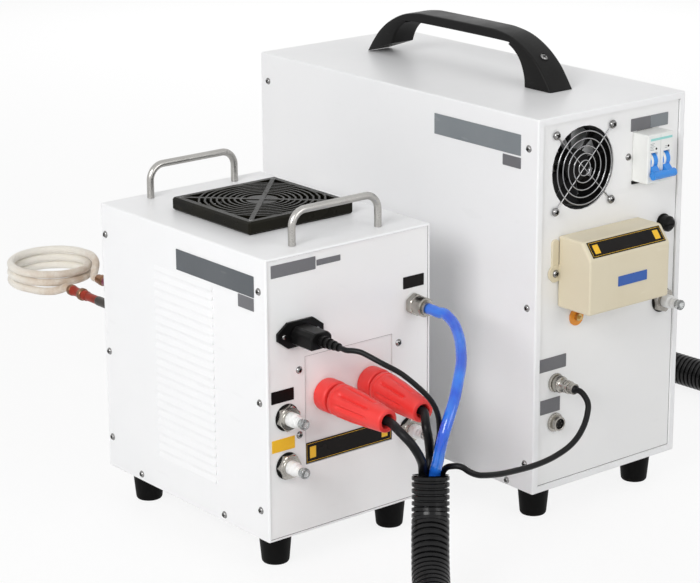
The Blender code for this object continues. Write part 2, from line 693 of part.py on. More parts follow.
# Fuse holder: a collar on the panel and a bayonet cap
FUSE_ACROSS = 193 * MM
FUSE_UP = 273 * MM
FUSE_COLLAR_RADIUS = 10 * MM
FUSE_COLLAR = 1.6 * MM
FUSE_CAP_RADIUS = 8.8 * MM
FUSE_CAP = 11 * MM
FUSE_CAP_DOME = 3 * MM
FUSE_NECK = 5 * MM
FUSE_SLOT = 1.6 * MM


def fuse_holder():
    place = on_unit(FUSE_ACROSS, UNIT_PANEL_INSET - CLEARANCE, FUSE_UP)
    collar = turned("fuse_collar", [(0, FUSE_COLLAR + FUSE_NECK), (FUSE_NECK, FUSE_COLLAR + FUSE_NECK),
                                    (FUSE_NECK, FUSE_COLLAR), (FUSE_COLLAR_RADIUS, FUSE_COLLAR),
                                    (FUSE_COLLAR_RADIUS, 0), (0, 0)], place, NEAR, 20)
    dress(collar, BLACK_PLASTIC)
    neck = FUSE_NECK + CLEARANCE
    cap = turned("fuse_cap", [(0, FUSE_CAP), (FUSE_CAP_RADIUS - FUSE_CAP_DOME, FUSE_CAP),
                              (FUSE_CAP_RADIUS, FUSE_CAP - FUSE_CAP_DOME), (FUSE_CAP_RADIUS, 0), (neck, 0),
                              (neck, neck), (0, neck)],
                 place + NEAR * (FUSE_COLLAR + CLEARANCE), NEAR, 20)
    slot = box("cap_slot", Vector((-FUSE_CAP_RADIUS, -FUSE_SLOT / 2, FUSE_CAP - FUSE_SLOT)),
               Vector((FUSE_CAP_RADIUS, FUSE_SLOT / 2, FUSE_CAP + OVERRUN)))
    slot.location = place + NEAR * (FUSE_COLLAR + CLEARANCE + FUSE_CAP + (OVERRUN - FUSE_SLOT) / 2)
    slot.rotation_quaternion = turn_to(NEAR)
    cut(cap, slot)
    dress(cap, BLACK_PLASTIC)


# Round multi-pole sockets and the remote lead's plug
SOCKET_ACROSS = 33.5 * MM
REMOTE_UP = 122 * MM
SPARE_UP = 76.5 * MM
SOCKET_NUT_RADIUS = 10.4 * MM
SOCKET_NUT = 3 * MM
SOCKET_BARREL_RADIUS = 7.8 * MM
SOCKET_BARREL = 9 * MM
SOCKET_BORE = 6 * MM
SOCKET_BORE_DEPTH = 5 * MM
PLUG_RING_RADIUS = 9 * MM
PLUG_RING = 8 * MM
PLUG_BODY_RADIUS = 7.2 * MM
PLUG_BODY_END = 24 * MM
PLUG_BOOT_RADIUS = 5.6 * MM
PLUG_BOOT_END = 33.5 * MM
PLUG_BOOT_SHARE = 0.8
REMOTE_CORD = 6.4 * MM


def remote_sockets():
    floor = SOCKET_BARREL - SOCKET_BORE_DEPTH
    profile = [(0, floor), (SOCKET_BORE, floor), (SOCKET_BORE, SOCKET_BARREL),
               (SOCKET_BARREL_RADIUS, SOCKET_BARREL), (SOCKET_BARREL_RADIUS, SOCKET_NUT),
               (SOCKET_NUT_RADIUS, SOCKET_NUT), (SOCKET_NUT_RADIUS, 0), (0, 0)]
    for name, up in (("remote_socket", REMOTE_UP), ("spare_socket", SPARE_UP)):
        place = on_unit(SOCKET_ACROSS, UNIT_PANEL_INSET - CLEARANCE, up)
        dress(turned(name, profile, place, NEAR, 20), CHROME)
    place = on_unit(SOCKET_ACROSS, UNIT_PANEL_INSET - CLEARANCE, REMOTE_UP)
    mouth = SOCKET_BARREL_RADIUS + CLEARANCE
    start = SOCKET_NUT + CLEARANCE
    shoulder = start + PLUG_RING
    plug = turned("remote_plug", [(0, PLUG_BOOT_END), (PLUG_BOOT_RADIUS * PLUG_BOOT_SHARE, PLUG_BOOT_END),
                                  (PLUG_BOOT_RADIUS, PLUG_BODY_END), (PLUG_BODY_RADIUS, PLUG_BODY_END),
                                  (PLUG_BODY_RADIUS, shoulder), (PLUG_RING_RADIUS, shoulder),
                                  (PLUG_RING_RADIUS, start), (mouth, start),
                                  (mouth, SOCKET_BARREL + CLEARANCE), (0, SOCKET_BARREL + CLEARANCE)],
                  place, NEAR, 20)
    dress(plug, CHROME)


# Hose tails: a chromed hexagon nut and a pale barbed spout with its bore
NUT_RADIUS = 14.3 * MM
NUT_THICKNESS = 6.5 * MM
NUT_EDGE = 1.2 * MM
SPOUT_RADIUS = 7.6 * MM
SPOUT_SHOULDER = 15 * MM
SPOUT_NECK = 5 * MM
SPOUT_BARB = 6 * MM
SPOUT_END = 31 * MM
SPOUT_BORE = 2.4 * MM
SPOUT_BORE_DEPTH = 14 * MM
SPOUT_BARBS = 2


def water_fitting(name, place):
    """A hexagon nut and the barbed spout that it holds."""
    nut = soften(cylinder(name, place, NEAR, NUT_THICKNESS, NUT_RADIUS, 6), NUT_EDGE, 1)
    profile = [(0, SPOUT_END - SPOUT_BORE_DEPTH), (SPOUT_BORE, SPOUT_END - SPOUT_BORE_DEPTH),
               (SPOUT_BORE, SPOUT_END), (SPOUT_NECK, SPOUT_END)]
    step = (SPOUT_END - SPOUT_SHOULDER) / (SPOUT_BARBS + 1)
    for i in range(SPOUT_BARBS):
        height = SPOUT_END - step * (i + 1)
        profile += [(SPOUT_BARB, height), (SPOUT_NECK, height)]
    profile += [(SPOUT_NECK, SPOUT_SHOULDER), (SPOUT_RADIUS, SPOUT_SHOULDER),
                (SPOUT_RADIUS, NUT_THICKNESS - SINK), (0, NUT_THICKNESS - SINK)]
    fuse(nut, turned("spout", profile, place, NEAR, 16))
    dress(nut, CHROME)


UNIT_WATER_ACROSS = 194.5 * MM
UNIT_WATER_UP = 184 * MM
HEAD_WATER_ACROSS = 25.5 * MM
HEAD_WATER_UPS = {"low": 80 * MM, "high": 133 * MM}
HEAD_RETURN_ACROSS = 191 * MM
HEAD_RETURN_UP = 81 * MM


def water_fittings():
    inset = UNIT_PANEL_INSET - CLEARANCE
    water_fitting("unit_water_fitting", on_unit(UNIT_WATER_ACROSS, inset, UNIT_WATER_UP))
    inset = HEAD_PANEL_INSET - CLEARANCE
    for level, up in HEAD_WATER_UPS.items():
        water_fitting(f"head_water_fitting_{level}", on_head(HEAD_WATER_ACROSS, inset, up))
    water_fitting("head_return_fitting", on_head(HEAD_RETURN_ACROSS, inset, HEAD_RETURN_UP))


# Strap handle along the unit's top, with a screw in each foot
STRAP_ACROSS = 116 * MM
STRAP_WIDTH = 34 * MM
STRAP_START = 86 * MM
STRAP_END = 398.5 * MM
STRAP_RISE = 56 * MM
STRAP_THICKNESS = 11.5 * MM
STRAP_FOOT = 43 * MM
STRAP_EDGE = 3 * MM
STRAP_OUTER_SHARES = ((0.0, 0.0), (0.033, 0.25), (0.07, 0.48), (0.126, 0.71), (0.2, 0.9),
                      (0.28, 0.985), (0.36, 1.0))
STRAP_INNER_SHARES = ((0.0, 0.0), (0.006, 0.24), (0.033, 0.53), (0.07, 0.72), (0.122, 0.86), (0.17, 0.9))


def carry_handle():
    length = STRAP_END - STRAP_START
    outer = [(STRAP_START + length * s, STRAP_RISE * h) for s, h in STRAP_OUTER_SHARES]
    outer += [(STRAP_START + length * (1 - s), STRAP_RISE * h) for s, h in reversed(STRAP_OUTER_SHARES)]
    inner_start, inner_length = STRAP_START + STRAP_FOOT, length - 2 * STRAP_FOOT
    rise = (STRAP_RISE - STRAP_THICKNESS) / STRAP_INNER_SHARES[-1][1]
    inner = [(inner_start + inner_length * s, rise * h) for s, h in STRAP_INNER_SHARES]
    inner += [(inner_start + inner_length * (1 - s), rise * h) for s, h in reversed(STRAP_INNER_SHARES)]
    base = on_unit(STRAP_ACROSS - STRAP_WIDTH / 2, 0, UNIT_HEIGHT + CLEARANCE)
    handle = plate("carry_handle", [outer + inner[::-1]], STRAP_WIDTH, base, FAR, UP)
    soften(handle, STRAP_EDGE, limit=30)
    dress(handle, BLACK_PLASTIC)


# Feet: tapered rubber with a flat sole
FOOT_TOP_RADIUS = 18 * MM
FOOT_BOTTOM_RADIUS = 14.5 * MM
FOOT_INSET = 31 * MM
FOOT_EDGE = 1.5 * MM


def feet():
    top = FOOT_HEIGHT - CLEARANCE
    profile = [(0, top), (FOOT_TOP_RADIUS, top), (FOOT_BOTTOM_RADIUS, FOOT_EDGE),
               (FOOT_BOTTOM_RADIUS - FOOT_EDGE, 0), (0, 0)]
    for owner, corner, far in (("unit", UNIT_CORNER, UNIT_FAR), ("head", HEAD_CORNER, HEAD_FAR)):
        places = [(x, y) for x in (corner.x + FOOT_INSET, far.x - FOOT_INSET)
                  for y in (corner.y + FOOT_INSET, far.y - FOOT_INSET)]
        for i, (x, y) in enumerate(places):
            dress(turned(f"{owner}_foot_{i + 1}", profile, Vector((x, y, 0)), UP, 16), BLACK_RUBBER)


# Controls on the unit's far panel
KNOB_RADIUS = 14 * MM
KNOB_HEIGHT = 15 * MM
KNOB_CHAMFER = 2 * MM
KNOB_SHAFT_RADIUS = 3 * MM
KNOB_SHAFT_BEHIND = 8 * MM
KNOB_POINTER = 1.6 * MM
KNOBS_ACROSS_SHARES = (0.32, 0.68)
BUTTON_PROUD = 6.5 * MM
BUTTON_EDGE = 0.6 * MM


def controls():
    face = UNIT_LENGTH - UNIT_PANEL_INSET + CLEARANCE
    for name, share in zip(("power_knob", "time_knob"), KNOBS_ACROSS_SHARES):
        place = on_unit(UNIT_WIDTH * share, face, KNOB_UP)
        behind = KNOB_SHAFT_BEHIND - OVERRUN
        knob = turned(name, [(0, KNOB_HEIGHT), (KNOB_RADIUS - KNOB_CHAMFER, KNOB_HEIGHT),
                             (KNOB_RADIUS, KNOB_HEIGHT - KNOB_CHAMFER), (KNOB_RADIUS, CLEARANCE),
                             (KNOB_SHAFT_RADIUS, CLEARANCE), (KNOB_SHAFT_RADIUS, -behind), (0, -behind)],
                      place, FAR, 24)
        groove = box("pointer", place + Vector((-KNOB_POINTER / 2, KNOB_HEIGHT - KNOB_POINTER, 0)),
                     place + Vector((KNOB_POINTER / 2, KNOB_HEIGHT + OVERRUN, KNOB_RADIUS + OVERRUN)))
        cut(knob, groove)
        dress(knob, BLACK_PLASTIC)
    for name, share, surface in zip(("start_button", "stop_button"), BUTTONS_ACROSS_SHARES,
                                    (GREEN_PLASTIC, RED_RUBBER)):
        place = on_unit(UNIT_WIDTH * share, face, BUTTON_UP)
        button = cylinder(name, place + NEAR * BUTTON_BEHIND, FAR, BUTTON_BEHIND + BUTTON_PROUD,
                          BUTTON_RADIUS, 24)
        dress(soften(button, BUTTON_EDGE, 1), surface)


# Work head: case with louvred sides and a window for the output board
WINDOW_LOW = (50 * MM, 75 * MM)
WINDOW_HIGH = (166.5 * MM, 193.3 * MM)
BOARD_THICKNESS = 5 * MM
BOARD_INSET = 1 * MM
LOUVRE_COUNT = 23
LOUVRE_PITCH = 9.65 * MM
LOUVRE_LENGTH = 106 * MM
LOUVRE_HEIGHT = 5.6 * MM
LOUVRE_START = 90 * MM
LOUVRE_LOWEST = 40 * MM
TOP_FAN_SIZE = 120 * MM
TOP_FAN_BACK = 151.5 * MM
TOP_FAN_ACROSS = 112 * MM


def louvres(face_x, outward):
    """Pressed louvres: each leans out from its top edge and is open below."""
    fins = []
    for i in range(LOUVRE_COUNT):
        low = HEAD_CORNER.z + LOUVRE_LOWEST + LOUVRE_PITCH * i
        start = Vector((face_x, HEAD_CORNER.y + LOUVRE_START, low))
        section = [(-SINK, 0), (LOUVRE_DEPTH, 0), (LOUVRE_DEPTH, SINK), (0, LOUVRE_HEIGHT),
                   (-SINK, LOUVRE_HEIGHT)]
        if outward.x > 0:
            fin = plate("louvre", [section], LOUVRE_LENGTH, start + FAR * LOUVRE_LENGTH, RIGHT, UP)
        else:
            fin = plate("louvre", [section], LOUVRE_LENGTH, start, LEFT, UP)
        fins.append(fin)
    return group_of("louvre_fins", fins, CASE_WHITE)


def head_case():
    depth = HEAD_PANEL_INSET + PANEL_THICKNESS
    case = soften(box("head_case", HEAD_CORNER, HEAD_FAR), SHEET_EDGE)
    board = box("board_pocket",
                on_head(WINDOW_LOW[0] - BOARD_THICKNESS - CLEARANCE, depth - OVERRUN,
                        WINDOW_LOW[1] - BOARD_THICKNESS - CLEARANCE),
                on_head(WINDOW_HIGH[0] + BOARD_THICKNESS + CLEARANCE, depth + BOARD_THICKNESS + CLEARANCE,
                        WINDOW_HIGH[1] + BOARD_THICKNESS + CLEARANCE))
    top = on_head(TOP_FAN_ACROSS, TOP_FAN_BACK, HEAD_HEIGHT)
    fuse(case, louvres(HEAD_CORNER.x, LEFT), louvres(HEAD_FAR.x, RIGHT))
    cut(case, recess("near_recess", HEAD_CORNER, HEAD_FAR, HEAD_RIM, depth, True),
        recess("far_recess", HEAD_CORNER, HEAD_FAR, HEAD_RIM, depth, False),
        board, fan_pocket(top, UP, TOP_FAN_SIZE))
    return dress(case, CASE_WHITE, 0)


def head_panels():
    window = box("window", on_head(WINDOW_LOW[0], -OVERRUN, WINDOW_LOW[1]),
                 on_head(WINDOW_HIGH[0], HEAD_PANEL_INSET + PANEL_THICKNESS + OVERRUN, WINDOW_HIGH[1]))
    end_panel("head_connector_panel", HEAD_CORNER, HEAD_FAR, HEAD_RIM, HEAD_PANEL_INSET, True, [window])
    end_panel("head_output_panel", HEAD_CORNER, HEAD_FAR, HEAD_RIM, HEAD_PANEL_INSET, False, [])
    depth = HEAD_PANEL_INSET + PANEL_THICKNESS
    board = box("output_board",
                on_head(WINDOW_LOW[0] - BOARD_THICKNESS, depth, WINDOW_LOW[1] - BOARD_THICKNESS),
                on_head(WINDOW_HIGH[0] + BOARD_THICKNESS, depth + BOARD_THICKNESS,
                        WINDOW_HIGH[1] + BOARD_THICKNESS))
    raised = box("board_face", on_head(WINDOW_LOW[0] + CLEARANCE, HEAD_PANEL_INSET + BOARD_INSET,
                                       WINDOW_LOW[1] + CLEARANCE),
                 on_head(WINDOW_HIGH[0] - CLEARANCE, depth + BOARD_INSET, WINDOW_HIGH[1] - CLEARANCE))
    fuse(board, raised)
    dress(board, PANEL_WHITE)


# Filter grille over the head's fan
GRILLE_SIZE = 139 * MM
GRILLE_HEIGHT = 14 * MM
GRILLE_FRAME = 8 * MM
GRILLE_EDGE = 2 * MM
GRILLE_PITCH = 6.4 * MM
GRILLE_RIB = 2.2 * MM
GRILLE_RIB_DEPTH = 3 * MM
GRILLE_HUB = 18 * MM
GRILLE_RINGS = 8
GRILLE_RING_STEPS = 24
GRILLE_SPOKE = 5 * MM


def filter_grille():
    half = GRILLE_SIZE / 2
    clear = half - GRILLE_FRAME
    base = on_head(TOP_FAN_ACROSS, TOP_FAN_BACK, HEAD_HEIGHT + CLEARANCE)
    grille = soften(box("filter_grille", base + Vector((-half, -half, 0)),
                        base + Vector((half, half, GRILLE_HEIGHT))), GRILLE_EDGE, 1)
    ribs_low = base + UP * (GRILLE_HEIGHT - GRILLE_RIB_DEPTH)
    hole = box("grille_hole", base + Vector((-clear, -clear, -OVERRUN)),
               base + Vector((clear, clear, GRILLE_HEIGHT + OVERRUN)))
    rings = []
    for i in range(GRILLE_RINGS):
        radius = GRILLE_HUB + GRILLE_PITCH * (i + 1)
        rings.append(plate("grille_ring", [circle(radius, GRILLE_RING_STEPS),
                                           circle(radius - GRILLE_RIB, GRILLE_RING_STEPS)],
                           GRILLE_RIB_DEPTH, ribs_low, RIGHT, UP.cross(RIGHT)))
    ribs = group_of("grille_rings", rings, BLACK_PLASTIC)
    spokes = []
    reach = clear * math.sqrt(2) + GRILLE_RIB
    for turn in (45, 135):
        ray = Vector((math.cos(math.radians(turn)), math.sin(math.radians(turn)), 0))
        spokes.append(plate("spoke", [rectangle((-reach, -GRILLE_SPOKE / 2), (reach, GRILLE_SPOKE / 2))],
                            GRILLE_RIB_DEPTH + SINK, ribs_low - UP * SINK, ray, UP.cross(ray)))
    hub = cylinder("grille_hub", ribs_low - UP * SINK, UP, GRILLE_RIB_DEPTH, GRILLE_HUB, 20)
    fuse(ribs, *spokes, hub)
    square = box("grille_square", base + Vector((-clear - SINK, -clear - SINK, 0)),
                 base + Vector((clear + SINK, clear + SINK, GRILLE_HEIGHT + OVERRUN)))
    shape(ribs, [square], "INTERSECT")
    cut(grille, hole)
    fuse(grille, ribs)
    dress(grille, BLACK_PLASTIC)


def head_fan():
    top = on_head(TOP_FAN_ACROSS, TOP_FAN_BACK, HEAD_HEIGHT - CLEARANCE)
    fan_frame("head_fan_frame", top, UP, RIGHT, FAR, TOP_FAN_SIZE)
    fan_rotor("head_fan_rotor", top, UP, RIGHT, FAR, TOP_FAN_SIZE)


# Rod handles across the head's top
ROD_RADIUS = 4 * MM
ROD_BEND = 17 * MM
ROD_SPAN = 114 * MM
ROD_RISE = 36 * MM
ROD_ACROSS = 111 * MM
ROD_NEAR_INSET = 25.5 * MM
ROD_FAR_INSET = 18.5 * MM
ROD_BEND_STEPS = 5


def rod_handles():
    for end, depth in (("near", ROD_NEAR_INSET), ("far", HEAD_LENGTH - ROD_FAR_INSET)):
        half, top = ROD_SPAN / 2, ROD_RISE
        path = [(-half, CLEARANCE)]
        path += arc((-half + ROD_BEND, top - ROD_BEND), ROD_BEND, 180, 90, ROD_BEND_STEPS)
        path += arc((half - ROD_BEND, top - ROD_BEND), ROD_BEND, 90, 0, ROD_BEND_STEPS)
        path += [(half, CLEARANCE)]
        points = [on_head(ROD_ACROSS + u, depth, HEAD_HEIGHT + v) for u, v in path]
        dress(tube(f"rod_handle_{end}", points, ROD_RADIUS, 3), STEEL)


# Mains inlet and the plug that sits in it
INLET_ACROSS = 43 * MM
INLET_UP = 221 * MM
INLET_WIDTH = 59 * MM
INLET_HEIGHT = 27.4 * MM
INLET_TOP_WIDTH = 33 * MM
INLET_TIP = 8 * MM
INLET_THICKNESS = 3 * MM
INLET_PIN = 3 * MM
INLET_PIN_LENGTH = 6 * MM
INLET_PINS = ((-7 * MM, -2 * MM), (7 * MM, -2 * MM), (0, 4 * MM))
IEC_WIDTH = 27 * MM
IEC_HEIGHT = 17.5 * MM
IEC_CHAMFER = 5 * MM
IEC_BODY = 37 * MM
IEC_EDGE = 1.25 * MM
IEC_BOOT_GROOVE = 1 * MM
IEC_BOOT_RADIUS = 6.4 * MM
IEC_BOOT_END_RADIUS = 4.4 * MM
IEC_BOOT_RIBS = 4
IEC_END = 64.5 * MM
INLET_CORD = 5.6 * MM


def mains_inlet():
    half_w, half_h, top = INLET_WIDTH / 2, INLET_HEIGHT / 2, INLET_TOP_WIDTH / 2
    outline = [(-half_w, INLET_TIP / 2), (-half_w, -INLET_TIP / 2), (-top, -half_h), (top, -half_h),
               (half_w, -INLET_TIP / 2), (half_w, INLET_TIP / 2), (top, half_h), (-top, half_h)]
    face = HEAD_PANEL_INSET - CLEARANCE
    place = on_head(INLET_ACROSS, face, INLET_UP)
    inlet = plate("mains_inlet", [outline], INLET_THICKNESS, place, RIGHT, UP)
    pins = [cylinder("pin", place + Vector((x, 0, z)) + NEAR * (INLET_THICKNESS - SINK), NEAR,
                     INLET_PIN_LENGTH, INLET_PIN / 2, 8) for x, z in INLET_PINS]
    fuse(inlet, *pins)
    dress(inlet, BLACK_PLASTIC)
    start = place + NEAR * (INLET_THICKNESS + CLEARANCE)
    w, h, c = IEC_WIDTH / 2, IEC_HEIGHT / 2, IEC_CHAMFER
    outline = [(-w, -h), (w, -h), (w, h - c), (w - c, h), (c - w, h), (-w, h - c)]
    length = IEC_BODY - INLET_THICKNESS - CLEARANCE
    plug = plate("inlet_plug", [outline], length, start, RIGHT, UP)
    soften(plug, IEC_EDGE, 1)
    wells = [cylinder("pin_well", place + Vector((x, 0, z)) + NEAR * (INLET_THICKNESS - SINK), NEAR,
                      INLET_PIN_LENGTH + CLEARANCE + SINK, INLET_PIN / 2 + CLEARANCE, 8)
             for x, z in INLET_PINS]
    cut(plug, *wells)
    boot_length = IEC_END - IEC_BODY
    step = boot_length / IEC_BOOT_RIBS
    profile = [(0, boot_length)]
    for i in range(IEC_BOOT_RIBS):
        share = i / (IEC_BOOT_RIBS - 1)
        radius = IEC_BOOT_END_RADIUS + (IEC_BOOT_RADIUS - IEC_BOOT_END_RADIUS) * share
        top_of_rib = boot_length - step * i
        profile += [(radius, top_of_rib), (radius, top_of_rib - step / 2),
                    (radius - IEC_BOOT_GROOVE, top_of_rib - step / 2),
                    (radius - IEC_BOOT_GROOVE, top_of_rib - step)]
    profile += [(IEC_BOOT_RADIUS - IEC_BOOT_GROOVE, -SINK), (0, -SINK)]
    boot = turned("boot", profile, place + NEAR * IEC_BODY, NEAR, 14)
    fuse(plug, boot)
    dress(plug, BLACK_PLASTIC)


# Twist-lock power connectors: a fixed collar and a sleeve that turns on its pin
COLLAR_RADIUS = 17.8 * MM
COLLAR_LENGTH = 18 * MM
COLLAR_EDGE = 1.5 * MM
PIN_RADIUS = 4 * MM
PIN_LENGTH = 12 * MM
PIN_PLAY = 2 * MM
SLEEVE_START = 21.5 * MM
SLEEVE_LENGTH = 77.5 * MM
SLEEVE_NECK = 12 * MM
SLEEVE_BORE = 7.4 * MM
SLEEVE_BORE_DEPTH = 13 * MM
SLEEVE_RADII = (17.2 * MM, 17.4 * MM, 16.6 * MM, 14.4 * MM, 12.2 * MM)
SLEEVE_STATION_SHARES = (0.0, 0.1, 0.4, 0.72, 1.0)
SLEEVE_FLUTES = 8
FLUTE_RADIUS = 3.2 * MM
FLUTE_START = 9 * MM
FLUTE_LENGTH = 44 * MM
FLUTE_OUT = 18.6 * MM
SLEEVE_UP = 146.3 * MM
SLEEVE_ACROSS = {"left": 78.3 * MM, "right": 136.8 * MM}
SLEEVE_AIM = {"left": (0, -99 * MM, -3.5 * MM), "right": (-12.5 * MM, -92 * MM, -4 * MM)}


def twist_connector(side):
    base = on_head(SLEEVE_ACROSS[side], HEAD_PANEL_INSET + BOARD_INSET - CLEARANCE, SLEEVE_UP)
    bore = PIN_RADIUS + PIN_PLAY
    floor = COLLAR_LENGTH - PIN_LENGTH - PIN_PLAY
    collar = turned(f"output_collar_{side}",
                    [(0, floor), (bore, floor), (bore, COLLAR_LENGTH),
                     (COLLAR_RADIUS - COLLAR_EDGE, COLLAR_LENGTH),
                     (COLLAR_RADIUS, COLLAR_LENGTH - COLLAR_EDGE), (COLLAR_RADIUS, 0), (0, 0)],
                    base, NEAR, 28)
    dress(collar, RED_RUBBER)
    aim = Vector(SLEEVE_AIM[side]).normalized()
    start = base + NEAR * COLLAR_LENGTH + aim * (SLEEVE_START - COLLAR_LENGTH)
    outer = [(radius, SLEEVE_LENGTH * share) for radius, share in zip(SLEEVE_RADII, SLEEVE_STATION_SHARES)]
    lean = aim.angle(NEAR)
    neck_end = COLLAR_LENGTH - SLEEVE_START + SLEEVE_NECK * math.tan(lean) + CLEARANCE * 2
    profile = [(0, SLEEVE_LENGTH - SLEEVE_BORE_DEPTH), (SLEEVE_BORE, SLEEVE_LENGTH - SLEEVE_BORE_DEPTH),
               (SLEEVE_BORE, SLEEVE_LENGTH), *reversed(outer), (SLEEVE_NECK, 0), (SLEEVE_NECK, neck_end),
               (PIN_RADIUS, neck_end), (PIN_RADIUS, neck_end - PIN_LENGTH), (0, neck_end - PIN_LENGTH)]
    sleeve = turned(f"power_plug_{side}", profile, start, aim, 24)
    turn = turn_to(aim)
    flutes = []
    for i in range(SLEEVE_FLUTES):
        angle = math.tau * (i + 1 / 2) / SLEEVE_FLUTES
        out = turn @ Vector((math.cos(angle), math.sin(angle), 0))
        flutes.append(cylinder("flute", start + aim * FLUTE_START + out * FLUTE_OUT, aim, FLUTE_LENGTH,
                               FLUTE_RADIUS, 8))
    cutter = group_of("flutes", flutes, RED_RUBBER)
    cut(sleeve, cutter)
    dress(sleeve, RED_RUBBER)


# Push-in fitting for the cooling tube
TUBE_FITTING_ACROSS = 196 * MM
TUBE_FITTING_UP = 221 * MM
TUBE_NUT_RADIUS = 12.4 * MM
TUBE_NUT = 9 * MM
TUBE_BODY_RADIUS = 10.5 * MM
TUBE_BODY_END = 21 * MM
COLLET_RADIUS = 8 * MM
COLLET_END = 25.5 * MM
COOLING_TUBE = 12 * MM


def cooling_fitting():
    place = on_head(TUBE_FITTING_ACROSS, HEAD_PANEL_INSET - CLEARANCE, TUBE_FITTING_UP)
    nut = soften(cylinder("cooling_fitting", place, NEAR, TUBE_NUT, TUBE_NUT_RADIUS, 6), NUT_EDGE, 1)
    body = turned("fitting_body",
                  [(0, COLLET_END), (COLLET_RADIUS, COLLET_END), (COLLET_RADIUS, TUBE_BODY_END),
                   (TUBE_BODY_RADIUS - NUT_EDGE, TUBE_BODY_END),
                   (TUBE_BODY_RADIUS, TUBE_BODY_END - NUT_EDGE),
                   (TUBE_BODY_RADIUS, TUBE_NUT - SINK), (0, TUBE_NUT - SINK)], place, NEAR, 20)
    fuse(nut, body)
    dress(nut, CHROME)


# Output block, leads, unions and the coil
LEAD_SPACING = 50 * MM
LEAD_ACROSS = 109.8 * MM
LEAD_UP = 142.5 * MM
BLOCK_WIDE = 96 * MM
BLOCK_TALL = 52 * MM
BLOCK_THICK = 9 * MM
BLOCK_ROUND = 6 * MM
LEAD_RADIUS = 5.8 * MM
LEAD_BOSS_RADIUS = 10 * MM
LEAD_BOSS = 8 * MM
LEAD_ENDS = {"left": 165 * MM, "right": 200 * MM}
UNION_ENDS = {"left": 204 * MM, "right": 219 * MM}
UNION_RADIUS = 6.8 * MM
UNION_COLLAR_RADIUS = 8.4 * MM
UNION_COLLAR = 5 * MM
UNION_COLLAR_SHARE = 0.72
COIL_PITCH = 9.9 * MM
COIL_START_UP = 133.6 * MM
COIL_START_TURN = 332
COIL_END_TURN = 1252
COIL_STEP = 15
COIL_ACROSS = 106 * MM
COIL_ENTRY = ((84 * MM, 222 * MM, 138.5 * MM), (79 * MM, 234 * MM, 134.3 * MM),
              (70.5 * MM, 247.5 * MM, 133 * MM))
COIL_EXIT = ((153 * MM, 275 * MM, 159.4 * MM), (152.3 * MM, 261 * MM, 159.6 * MM),
             (149.6 * MM, 249 * MM, 158 * MM), (145.5 * MM, 240 * MM, 154 * MM),
             (139.5 * MM, 233.5 * MM, 148.5 * MM))


def coil_route():
    """Two and a half close turns, entered from below on the left and left at the top right."""
    left = LEAD_ACROSS - LEAD_SPACING / 2
    right = LEAD_ACROSS + LEAD_SPACING / 2
    starts = {side: HEAD_LENGTH + end + CLEARANCE for side, end in UNION_ENDS.items()}
    points = [(left, starts["left"], LEAD_UP), (left, starts["left"] + COIL_TUBE, LEAD_UP)]
    points += [(x, HEAD_LENGTH + y, z) for x, y, z in COIL_ENTRY]
    turn = COIL_START_TURN
    while turn <= COIL_END_TURN:
        angle = math.radians(turn)
        rise = COIL_PITCH * (turn - COIL_START_TURN) / 360
        points.append((COIL_ACROSS - COIL_RADIUS * math.cos(angle),
                       HEAD_LENGTH + COIL_REACH + COIL_RADIUS * math.sin(angle), COIL_START_UP + rise))
        turn += COIL_STEP
    points += [(x, HEAD_LENGTH + y, z) for x, y, z in COIL_EXIT]
    points += [(right, starts["right"] + COIL_TUBE, LEAD_UP), (right, starts["right"], LEAD_UP)]
    return [on_head(*p) for p in points]


def least_gap(points, radius):
    """The least distance between the surfaces of a tube's turns."""
    reach = 8
    least = min((a - b).length for i, a in enumerate(points) for b in points[i + reach:])
    return least - 2 * radius


def work_coil():
    route = coil_route()
    coil = tube("work_coil", route, COIL_TUBE / 2, 1)
    dress(coil, CREAM_SLEEVE)
    print("work_coil: least gap to itself %.2f mm" % (least_gap(route, COIL_TUBE / 2) / MM))
    face = HEAD_LENGTH - HEAD_PANEL_INSET + CLEARANCE
    middle = on_head(LEAD_ACROSS, face, LEAD_UP)
    outline = round_rectangle((-BLOCK_WIDE / 2, -BLOCK_TALL / 2), (BLOCK_WIDE / 2, BLOCK_TALL / 2),
                              BLOCK_ROUND)
    block = plate("output_block", [outline], BLOCK_THICK, middle, LEFT, UP)
    dress(block, BLACK_PLASTIC)
    for side, sign in (("left", -1), ("right", 1)):
        start = face + BLOCK_THICK + CLEARANCE
        lead = HEAD_LENGTH + LEAD_ENDS[side] - start
        length = HEAD_LENGTH + UNION_ENDS[side] - start
        collar = lead + (length - lead) * UNION_COLLAR_SHARE
        profile = [(0, length), (UNION_RADIUS, length), (UNION_RADIUS, collar + UNION_COLLAR),
                   (UNION_COLLAR_RADIUS, collar + UNION_COLLAR), (UNION_COLLAR_RADIUS, collar),
                   (UNION_RADIUS, collar), (UNION_RADIUS, lead), (LEAD_RADIUS, lead),
                   (LEAD_RADIUS, LEAD_BOSS), (LEAD_BOSS_RADIUS, LEAD_BOSS), (LEAD_BOSS_RADIUS, 0), (0, 0)]
        across = LEAD_ACROSS + sign * LEAD_SPACING / 2
        dress(turned(f"coil_lead_{side}", profile, on_head(across, start, LEAD_UP), FAR, 14), COPPER)


